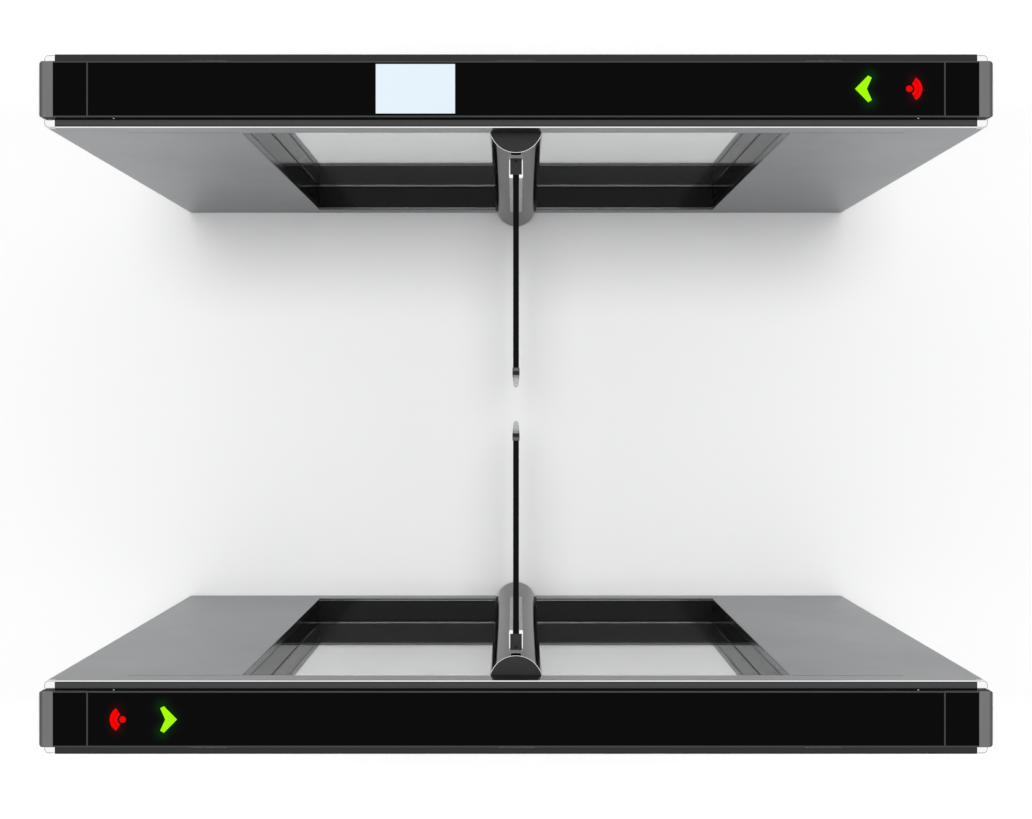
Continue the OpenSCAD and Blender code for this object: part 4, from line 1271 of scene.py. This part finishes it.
@dataclass
class GlassWing:
    """The wing: clamp, screws, glass with dark edges, tip profile and clear bumper."""

    plan: CabinetPlan
    look: Dict[str, bpy.types.Material]
    thick: float = 10 * MM
    corner_r: float = 6 * MM
    clamp_w: float = 23 * MM
    clamp_wall: float = 1.6 * MM
    lip: float = 6 * MM
    heel: float = 2.7 * MM
    saddle: float = 9 * MM
    screw_r: float = 2.4 * MM
    head_r: float = 4.2 * MM
    head_t: float = 1.2 * MM
    rows: int = 4
    band: float = 5.5 * MM
    cover_t: float = 0.4 * MM
    top_screw_l: float = 12 * MM
    top_socket_r: float = 1.3 * MM

    def clamp(self) -> Workpiece:
        """Cuts the clamp from a bar, with its saddle for the tube, its slot and its screw holes."""
        p, half = self.plan, self.clamp_w / 2
        low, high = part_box("left_wing_clamp")
        back = p.axis_y - p.tube_r - self.heel
        piece = Workpiece.block(
            "clamp", (-half, low.y, low.z), (half, p.axis_y - p.tube_r + self.saddle, high.z))
        piece.round_edges(1.5 * MM, lambda c, d: near(c.y, low.y) and abs(d.z) > 0.5, 4)
        bore = half - self.clamp_wall
        slot = self.thick / 2 + GAP
        middle = (low.z + high.z) / 2
        piece.cut(
            Workpiece.block(
                "bore", (-bore, low.y + self.lip, low.z - CUT), (bore, back, high.z + CUT)),
            Workpiece.block(
                "slot", (-slot, low.y - CUT, low.z - CUT), (slot, back - CUT, high.z + CUT)),
            Workpiece.cylinder(
                "tube", (0, p.axis_y, middle), p.tube_r + INLAY, 2 * (high.z - low.z), sides=128))
        for z in self.screw_heights():
            piece.cut(Workpiece.cylinder(
                "hole", (0, self.screw_y(), z), self.screw_r + INLAY, 2 * self.clamp_w, Axis.X, 32))
        return piece.soften(0.35 * MM, 2, 50).paint(self.look["clamp"])

    def screw_heights(self) -> List[float]:
        """Gives the heights of the clamp screws."""
        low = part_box("left_wing_clamp")[0].z
        pitch = (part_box("left_wing_glass")[1].z - low) / self.rows
        return [low + pitch * (row + 0.5) for row in range(self.rows)]

    def screw_y(self) -> float:
        """Gives the place of the clamp screws across the lane."""
        return (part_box("left_wing_glass")[1].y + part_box("left_wing_clamp")[0].y + self.lip) / 2

    def screw(self, name: str) -> Workpiece:
        """Turns one button-head screw with a hexagon socket, standing on its shank."""
        shank, socket = (self.clamp_w - self.thick) / 2 - GAP, 1.6 * MM
        dome, head = self.head_t, self.head_r
        piece = Workpiece.turned(name, (0, 0, 0), [
            (0, -shank), (self.screw_r, -shank), (self.screw_r, 0), (head, 0),
            (head, dome * 0.25), (head * 0.9, dome * 0.65), (head * 0.68, dome * 0.93),
            (head * 0.42, dome), (0, dome)], 32, closed=False)
        return piece.cut(Workpiece.cylinder(
            "socket", (0, 0, dome), socket, 2 * dome - 0.4 * MM, sides=6))

    def screws(self) -> Workpiece:
        """Sets the clamp screws on both sides and the retaining screw on top."""
        model = self.screw("screw")
        side = model.copy("screw_side").rotated((0, math.pi / 2, 0)).moved((self.clamp_w / 2, 0, 0))
        placed = []
        for z in self.screw_heights():
            one = side.copy("screw_copy").moved((0, self.screw_y(), z))
            placed += [one, one.copy("screw_copy").mirrored(0, 0)]
        side.discard()
        low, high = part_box("left_clamp_screws")
        top_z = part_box("left_wing_clamp")[1].z
        length = self.top_screw_l
        cap = Workpiece.turned("screw_top", (0, high.y - self.screw_r, top_z), [
            (0, -length), (self.screw_r, -length), (self.screw_r, -GAP), (self.screw_r * 0.9, 0),
            (0, 0)], 32, closed=False)
        cap.cut(Workpiece.cylinder(
            "socket", (0, high.y - self.screw_r, top_z), self.top_socket_r, 2 * MM, sides=6))
        model.discard()
        cap.join(placed).paint(self.look["bearing"], self.look["plastic"])
        return cap.paint_faces(1, lambda c, n: c.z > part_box("left_wing_glass")[1].z)

    def glass(self) -> Workpiece:
        """Makes the glass with its round outer corners and dark ground edges."""
        low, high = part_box("left_wing_glass")
        piece = Workpiece.block("glass", tuple(low), tuple(high))
        piece.round_edges(self.corner_r, lambda c, d: near(c.y, low.y) and abs(d.x) > 0.5, 8)
        piece.soften(0.6 * MM, 2).paint(self.look["pane"], self.look["edge"])
        return piece.paint_faces(1, lambda c, n: abs(n.x) < 0.9)

    def tip(self) -> Workpiece:
        """Makes the profile on the glass's end, closed by a two-toned cover at its top."""
        low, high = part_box("left_tip_profile")
        inner = self.thick / 2 + INLAY
        glass_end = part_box("left_wing_glass")[0].y
        piece = Workpiece.block("tip", tuple(low), tuple(high))
        piece.cut(Workpiece.block(
            "room", (-inner, glass_end - INLAY, low.z - CUT), (inner, high.y + CUT, high.z + CUT)))
        cover = Workpiece.block(
            "cover", (low.x, low.y, high.z), (high.x, high.y, high.z + self.cover_t))
        edge = high.y - self.band
        cover.divide((0, edge, 0), (0, 1, 0))
        piece.join([cover]).paint(self.look["plastic"], self.look["grey_plastic"])
        return piece.paint_faces(1, lambda c, n: c.z > high.z - TOUCH and c.y > edge)

    def bumper(self) -> Workpiece:
        """Makes the clear bumper with its round nose."""
        low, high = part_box("left_wing_bumper")
        piece = Workpiece.block("bumper", tuple(low), tuple(high))
        radius = (high.x - low.x) / 2 - TOUCH
        piece.round_edges(radius, lambda c, d: near(c.y, low.y) and abs(d.z) > 0.5, 10)
        return piece.soften(0.5 * MM, 2).paint(self.look["bumper"])

    def build(self) -> None:
        """Makes both wings."""
        parts = (
            (self.clamp(), "clamp", "clamp_steel", "{side}_wing_clamp"),
            (self.screws(), "screw_set", "bearing_steel", "{side}_clamp_screws"),
            (self.glass(), "wing_pane", "clear_glass", "{side}_wing_glass"),
            (self.tip(), "tip", "dark_plastic", "{side}_tip_profile"),
            (self.bumper(), "bumper", "clear_bumper", "{side}_wing_bumper"))
        for piece, stem, slot, node in parts:
            piece.fit_pair(stem, "{side}_wing", slot, node)


@dataclass
class Lid:
    """The hinged lid of black glass with its lights, the display and the rounded end caps."""

    plan: CabinetPlan
    look: Dict[str, bpy.types.Material]
    lip: float = 2.5 * MM
    glass_t: float = 4 * MM
    glass_drop: float = 0.1 * MM
    rib_in: float = 13 * MM
    rib: float = 2 * MM
    arrow_l: float = 27 * MM
    arrow_w: float = 43 * MM
    dot_r: float = 5.2 * MM
    wave_w: float = 5.8 * MM
    wave_radii: Tuple[float, float] = (14.2 * MM, 20.8 * MM)
    wave_angle: float = 60
    roll_r: float = 12 * MM
    plan_r: float = 9 * MM
    tray_t: float = 5.7 * MM
    housing_in: float = 9.5 * MM
    housing_half: float = 27 * MM
    end_cap_l: float = 19.4 * MM

    def __post_init__(self) -> None:
        """Reads the places of the lights from the frame."""
        low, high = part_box("left_arrow_light")
        self.arrow_x, self.icon_y = low.x, (low.y + high.y) / 2
        self.dot_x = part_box("left_reader_light")[0].x + self.dot_r
        self.top = self.plan.lid_high.z
        self.seat = self.top - self.glass_t
        self.face = self.top - self.glass_drop

    def tray(self, name: str, has_display: bool) -> Workpiece:
        """Makes the lid frame: a tray for the glass, on two stiffening ribs."""
        low, high = self.plan.lid_low, self.plan.lid_high
        bottom = self.top - self.tray_t
        piece = Workpiece.block(name, (low.x, low.y, bottom), tuple(high))
        for y in (low.y + self.rib_in, high.y - self.rib_in - self.rib):
            piece.fuse(Workpiece.block(
                "rib", (low.x, y, low.z), (high.x, y + self.rib, bottom + CUT / 10)))
        piece.cut(Workpiece.block(
            "seat", (low.x - CUT, low.y + self.lip, self.seat),
            (high.x + CUT, high.y - self.lip, self.top + CUT)))
        if has_display:
            d_low, d_high = self.housing()
            piece.cut(Workpiece.block(
                "room", (d_low[0] - GAP, d_low[1] - GAP, bottom - CUT),
                (d_high[0] + GAP, d_high[1] + GAP, self.seat + CUT)))
        piece.soften(0.4 * MM, 3, 50).paint(self.look["lid"], self.look["plastic"])
        # The frame's lane-facing side gets the darker plastic, as painted shade for the black line
        # under the lid's edge.
        return piece.paint_faces(1, lambda c, n: n.y < -0.6 and near(c.y, low.y))

    def housing(self) -> Tuple[Point, Point]:
        """Gives the corners of the display's housing below the glass."""
        low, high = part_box("left_display")
        return (
            (low.x + self.housing_in, self.icon_y - self.housing_half, low.z),
            (high.x - self.housing_in, self.icon_y + self.housing_half, self.seat))

    def arrow(self, name: str, grow: float = 0) -> Workpiece:
        """Draws the arrow, half of it by its four corners, and mirrors it."""
        tail, notch, drop = self.arrow_l * 0.22, self.arrow_l * 0.7, self.arrow_w * 0.08
        x, y = self.arrow_x, self.icon_y
        piece = Workpiece.drawn(name, [
            (x - grow * 1.4, y, self.face),
            (x + notch + grow, y, self.face),
            (x + self.arrow_l + grow, y + self.arrow_w / 2 - drop + grow * 0.4, self.face),
            (x + self.arrow_l - tail - grow * 0.4, y + self.arrow_w / 2 + grow, self.face)]).fill()
        other = piece.copy("half").mirrored(1, y)
        piece.join([other]).weld()
        return piece.face((0, 0, 1)).thicken(self.face - self.seat)

    def waves(self, name: str, grow: float = 0) -> Workpiece:
        """Makes the dot and spins the two waves of the contactless symbol."""
        centre = (self.dot_x, self.icon_y, self.face)
        middle = (self.face + self.seat) / 2
        piece = Workpiece.cylinder(
            name, (self.dot_x, self.icon_y, middle), self.dot_r + grow, self.face - self.seat,
            sides=48)
        for radius in self.wave_radii:
            half = math.radians(self.wave_angle) + grow / radius
            radii = (radius - self.wave_w - grow, radius + grow)
            line = Workpiece.drawn("wave", [
                (centre[0] + r * math.cos(half), centre[1] - r * math.sin(half), self.face)
                for r in radii], closed=False)
            with line.editing():
                bpy.ops.mesh.select_all(action="SELECT")
                bpy.ops.mesh.spin(steps=32, angle=-2 * half, center=centre, axis=(0, 0, 1))
            line.weld().face((0, 0, 1)).thicken(self.face - self.seat)
            piece.join([line])
        return piece

    def glass(self, name: str, has_display: bool) -> Workpiece:
        """Makes the black glass with its cut-outs."""
        low, high = self.plan.lid_low, self.plan.lid_high
        inset = self.lip + INLAY
        piece = Workpiece.block(
            name, (low.x + INLAY, low.y + inset, self.seat),
            (high.x - INLAY, high.y - inset, self.face))
        tools = [self.arrow("tool", INLAY), self.waves("tool", INLAY)]
        for tool in tools:
            tool.obj.scale.z, tool.obj.location.z = 3, -(self.face + self.seat)
            tool.apply()
        piece.cut(*tools)
        if has_display:
            d_low, d_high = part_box("left_display")
            piece.cut(Workpiece.block(
                "room", (d_low.x - INLAY, d_low.y - INLAY, self.seat - CUT),
                (d_high.x + INLAY, d_high.y + INLAY, self.top + CUT)))
        return piece.soften(0.25 * MM, 2, 50).paint(self.look["black_glass"])

    def display(self) -> Workpiece:
        """Makes the display panel with its housing."""
        low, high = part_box("left_display")
        piece = Workpiece.block("display", (low.x, low.y, self.seat), tuple(high))
        d_low, d_high = self.housing()
        piece.fuse(Workpiece.block("housing", d_low, (d_high[0], d_high[1], self.seat + CUT / 2)))
        piece.soften(0.3 * MM, 2, 50).paint(self.look["plastic"], self.look["screen"])
        return piece.paint_faces(1, lambda c, n: c.z > high.z - TOUCH and n.z > 0.9)

    def end_cap(self, name: str) -> Workpiece:
        """Shapes the rounded cap that rolls over an end of the cabinet."""
        low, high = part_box("end_caps")
        p = self.plan
        inner_x = p.half_l - self.end_cap_l
        skirt_x = p.half_l + GAP
        y0, y1 = p.lid_low.y, p.lid_high.y
        piece = Workpiece.block(name, (inner_x, y0 - CUT, low.z), (high.x, y1 + CUT, high.z))
        piece.round_edges(
            self.roll_r,
            lambda c, d: near(c.x, high.x) and near(c.z, high.z) and abs(d.y) > 0.5, 20)
        piece.cut(Workpiece.block(
            "under", (inner_x - CUT, y0 - 2 * CUT, low.z - CUT), (skirt_x, y1 + 2 * CUT, p.rim_z)))
        outline = Workpiece.block(
            "outline", (inner_x - CUT, y0, low.z - CUT), (high.x, y1, high.z + CUT))
        outline.round_edges(self.plan_r, lambda c, d: near(c.x, high.x) and abs(d.z) > 0.5, 16)
        piece.common(outline).soften(0.3 * MM, 2, 50).paint(self.look["cap"], self.look["rubber"])
        # The cap's sides below its top get the black rubber, as painted shade for the dark gap
        # round the cap.
        return piece.paint_faces(1, lambda c, n: abs(n.y) > 0.3 and c.z < high.z - MM)

    def build(self) -> None:
        """Makes the lids, lights, display and end caps of both cabinets."""
        for side, shown in ((Side.LEFT, True), (Side.RIGHT, False)):
            parts = [
                (self.tray(f"{side.value}_tray", shown), "lid_frame", "lid_frame"),
                (self.glass(f"{side.value}_glass", shown), "black_glass", "lid_glass")]
            for make, stem, light in (
                    (self.arrow, "arrow", "arrow"), (self.waves, "waves", "reader")):
                piece = make(f"{side.value}_{stem}").soften(0.2 * MM, 1, 50)
                parts.append((piece.paint(self.look[light]), f"{light}_light", f"{light}_light"))
            for piece, slot, node in parts:
                if side is Side.RIGHT:
                    piece.rotated((0, 0, math.pi))
                piece.fit(f"{side.value}_lid", slot, f"{side.value}_{node}")
        self.display().fit("left_lid", "display_screen", "left_display")
        self.end_cap("end_cap").fit_ends("end_cap", "cap_aluminium", "end_caps")


def black_glass(lid: Lid) -> bpy.types.Material:
    """Back-painted glass of the lids, with the soft glow of the lights in it.

    Args:
        lid: The lid that says where its lights are.

    Returns:
        The material. It serves both lids, as the right one is the left one turned half round.
    """
    material, s, surface = new_material("black_glass")
    place = s.place()
    across = s.part(place, "Y")
    x = s.math("MULTIPLY", s.part(place, "X"), s.math("SIGN", across))
    y = s.math("ABSOLUTE", s.math("SUBTRACT", s.math("ABSOLUTE", across), lid.icon_y))
    folded = s.add("ShaderNodeCombineXYZ", {"X": x, "Y": y}).outputs[0]
    spread = 11 * MM
    lights = (
        ((lid.arrow_x + lid.arrow_l * 0.35, 0.0, 0.0),
         (lid.arrow_x + lid.arrow_l * 0.88, lid.arrow_w * 0.46, 0.0), (0.0, 0.022, 0.001)),
        ((lid.dot_x + 14 * MM, 0.0, 0.0), (lid.dot_x + 9 * MM, 13 * MM, 0.0), (0.02, 0.0, 0.0)))
    glows = []
    for start, end, colour in lights:
        mask = s.group(bar_glow(), Vector=folded, Near=start, Far=end, Spread=spread).outputs[0]
        glows.append(s.tint(mask, (0, 0, 0), colour))
    both = s.add(
        "ShaderNodeMix", {0: 1.0, 6: glows[0], 7: glows[1]}, data_type="RGBA", blend_type="ADD")
    prints = s.group(handling(), Vector=place, Amount=0.1)
    s.feed(surface, {
        "Emission Color": both.outputs[2],
        "Emission Strength": 1,
        "Roughness": s.math("ADD", prints.outputs[0], 0.03),
        "Base Color": (0.0015, 0.0015, 0.0016, 1),
        "Specular IOR Level": 0.03})
    return material


@dataclass
class BeamSensors:
    """The bright lenses of the beam sensors, which look out below the lids' edges."""

    plan: CabinetPlan
    look: Dict[str, bpy.types.Material]
    lens_r: float = 1.7 * MM
    reach: float = 2.3 * MM
    place_x: float = 654.5 * MM
    inset: float = 10 * MM
    above_rim: float = 2.2 * MM

    def build(self) -> None:
        """Makes one lens and copies it to both cabinets."""
        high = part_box("beam_sensors")[1]
        seat = (self.place_x, high.y - self.inset, self.plan.rim_z + self.above_rim)
        nose = self.lens_r * 0.6
        model = Workpiece.turned("lens", (0, 0, 0), [
            (0, 0), (self.lens_r, 0), (self.lens_r, self.reach - nose),
            (self.lens_r * 0.85, self.reach - nose * 0.45),
            (self.lens_r * 0.5, self.reach - nose * 0.1), (0, self.reach)], 32, closed=False)
        model.rotated((math.pi / 2, 0, 0)).moved(seat)
        model.join([model.copy("lens_far").mirrored(0, 0)]).paint(self.look["polished"])
        twin = model.copy("lens_twin").rotated((0, 0, math.pi))
        model.obj.name = "left_sensor_lenses"
        twin.obj.name = "right_sensor_lenses"
        for piece in (model, twin):
            piece.fit("cabinets", "bearing_steel")


@dataclass
class InnerWorks:
    """Nodes whose shape is right as it is: they get their finish and slightly broken edges."""

    look: Dict[str, bpy.types.Material]
    edge: float = 0.3 * MM
    plain: Dict[str, str] = field(default_factory=lambda: {
        "base_plate": "galvanised", "top_beam": "beam", "motor": "motor", "card_reader": "plastic",
        "drive_hub": "aluminium", "clamp_gasket": "rubber", "lid_hinges": "bearing"})
    shared: Dict[str, str] = field(default_factory=lambda: {
        "jamb_panels": "mirror", "pane_profiles": "black_profile", "rim_trims": "trim_with_painted_gap_shade",
        "end_frames": "lid", "end_glasses": "black_glass", "bearings": "bearing",
        "brakes": "coil", "control_boards": "board", "power_supplies": "aluminium",
        "beam_sensors": "bearing", "hinge_pins": "bearing"})

    def dress(self, node: str, finish: str) -> None:
        """Gives one node its material, and live modifiers that break its edges.

        Args:
            node: Name of the node.
            finish: Name of its finish.
        """
        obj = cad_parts[node]
        if not obj.material_slots:
            obj.data.materials.append(self.look[finish])
        for slot in obj.material_slots:
            slot.material = self.look[finish]
        weld = obj.modifiers.new("weld", "WELD")
        weld.merge_threshold = TOUCH / 2
        flats = obj.modifiers.new("flats", "DECIMATE")
        flats.decimate_type = "DISSOLVE"
        flats.angle_limit = math.radians(1)
        bevel = obj.modifiers.new("edge", "BEVEL")
        bevel.width, bevel.segments = self.edge, 2
        bevel.limit_method, bevel.angle_limit = "ANGLE", math.radians(50)
        log.info("%s: node dressed in %s", node, finish)

    def build(self) -> None:
        """Dresses all of them."""
        for stem, finish in self.plain.items():
            for side in Side:
                self.dress(f"{side.value}_{stem}", finish)
        for node, finish in self.shared.items():
            self.dress(node, finish)


@dataclass
class Studio:
    """The pale floor, the light and the camera straight above the lane."""

    camera_z: float = 3.213
    lens: float = 47.65
    shift_y: float = -0.0052
    floor_size: float = 24.0
    floor_tone: float = 0.955
    white_from: float = 0.68
    white_gain: float = 0.12
    white_ramp: float = 0.2
    floor_vary: float = 0.006
    dome: float = 0.65
    horizon: float = 0.3
    high_sky: float = 0.8
    key: float = 0.42
    key_tilt: float = 5.5
    key_angle: float = 18.0

    def floor(self) -> None:
        """Lays the floor."""
        Workpiece.clear()
        bpy.ops.mesh.primitive_plane_add(size=self.floor_size, location=(0, 0, 0))
        floor = bpy.context.active_object
        floor.name = "floor"
        material, s, surface = new_material("pale_floor")
        place = s.place()
        tone = s.spread(
            s.noise(place, 1.5, 2), self.floor_tone - self.floor_vary,
            self.floor_tone + self.floor_vary)
        beyond = s.add("ShaderNodeMapRange", {
            "Value": s.math("ABSOLUTE", s.part(place, "Y")), "From Min": self.white_from,
            "From Max": self.white_from + self.white_ramp}).outputs[0]
        seen = s.math("MULTIPLY", beyond, s.add("ShaderNodeLightPath").outputs["Is Camera Ray"])
        s.feed(surface, {
            "Base Color": s.grey(tone),
            "Roughness": 0.9,
            "Specular IOR Level": 0.1,
            "Emission Strength": s.math("MULTIPLY", seen, self.white_gain),
            "Emission Color": (1, 1, 1, 1)})
        floor.data.materials.append(material)

    def lights(self) -> None:
        """Sets the dome and one wide, nearly upright lamp."""
        world = bpy.data.worlds.new("studio")
        bpy.context.scene.world = world
        world.use_nodes = True
        world.node_tree.nodes.clear()
        s = Shader(world.node_tree)
        path = s.add("ShaderNodeLightPath")
        seen = s.math("MAXIMUM", path.outputs["Is Camera Ray"], path.outputs["Is Glossy Ray"])
        seen = s.math("MAXIMUM", seen, path.outputs["Is Transmission Ray"])
        up = s.part(s.add("ShaderNodeTexCoord").outputs["Generated"], "Z")
        climb = s.add("ShaderNodeMapRange", {
            "Value": up, "From Max": self.high_sky, "To Min": self.horizon})
        back = s.math("ADD", path.outputs["Is Camera Ray"], path.outputs["Is Transmission Ray"])
        sky = s.math("MAXIMUM", climb.outputs[0], back)
        strength = s.add("ShaderNodeMapRange", {
            "Value": seen, "To Min": self.dome, "To Max": sky}).outputs[0]
        dome = s.add("ShaderNodeBackground", {"Color": (1, 1, 1, 1), "Strength": strength})
        s.add("ShaderNodeOutputWorld", {"Surface": dome.outputs[0]})
        Workpiece.clear()
        bpy.ops.object.light_add(type="SUN", location=(0, 1, 5))
        lamp = bpy.context.active_object
        lamp.name = "key_lamp"
        lamp.data.energy = self.key * math.pi
        lamp.data.angle = math.radians(self.key_angle)
        lamp.rotation_euler = (-math.radians(self.key_tilt), 0, 0)
        lamp.visible_glossy = False
        lamp.visible_transmission = False

    def camera(self) -> None:
        """Sets the camera."""
        Workpiece.clear()
        bpy.ops.object.camera_add(location=(0, 0, self.camera_z), rotation=(0, 0, 0))
        camera = bpy.context.active_object
        camera.name = "camera"
        camera.data.lens = self.lens
        camera.data.sensor_width = 36
        camera.data.shift_y = self.shift_y
        bpy.context.scene.camera = camera

    def build(self) -> None:
        """Sets up the studio."""
        self.floor()
        self.lights()
        self.camera()
        bpy.context.scene.view_settings.view_transform = "Standard"


def main() -> None:
    """Builds the gate's pieces in order."""
    logging.basicConfig(level=logging.INFO, format="%(message)s")
    Studio().build()
    plan = CabinetPlan.read()
    look = GateLook().materials()
    lid = Lid(plan, look)
    look["black_glass"] = black_glass(lid)
    # The rim trims get a band of painted shade under the lid's edge.
    look["trim_with_painted_gap_shade"] = trim_with_painted_gap_shade(plan.lid_low.y - GAP_SHADE_OUT, plan.lid_high.y)
    SteelShell(plan, look).build()
    Recess(plan, look).build()
    TurningColumn(plan, look).build()
    GlassWing(plan, look).build()
    lid.build()
    BeamSensors(plan, look).build()
    InnerWorks(look).build()


if __name__ == "__main__":
    main()
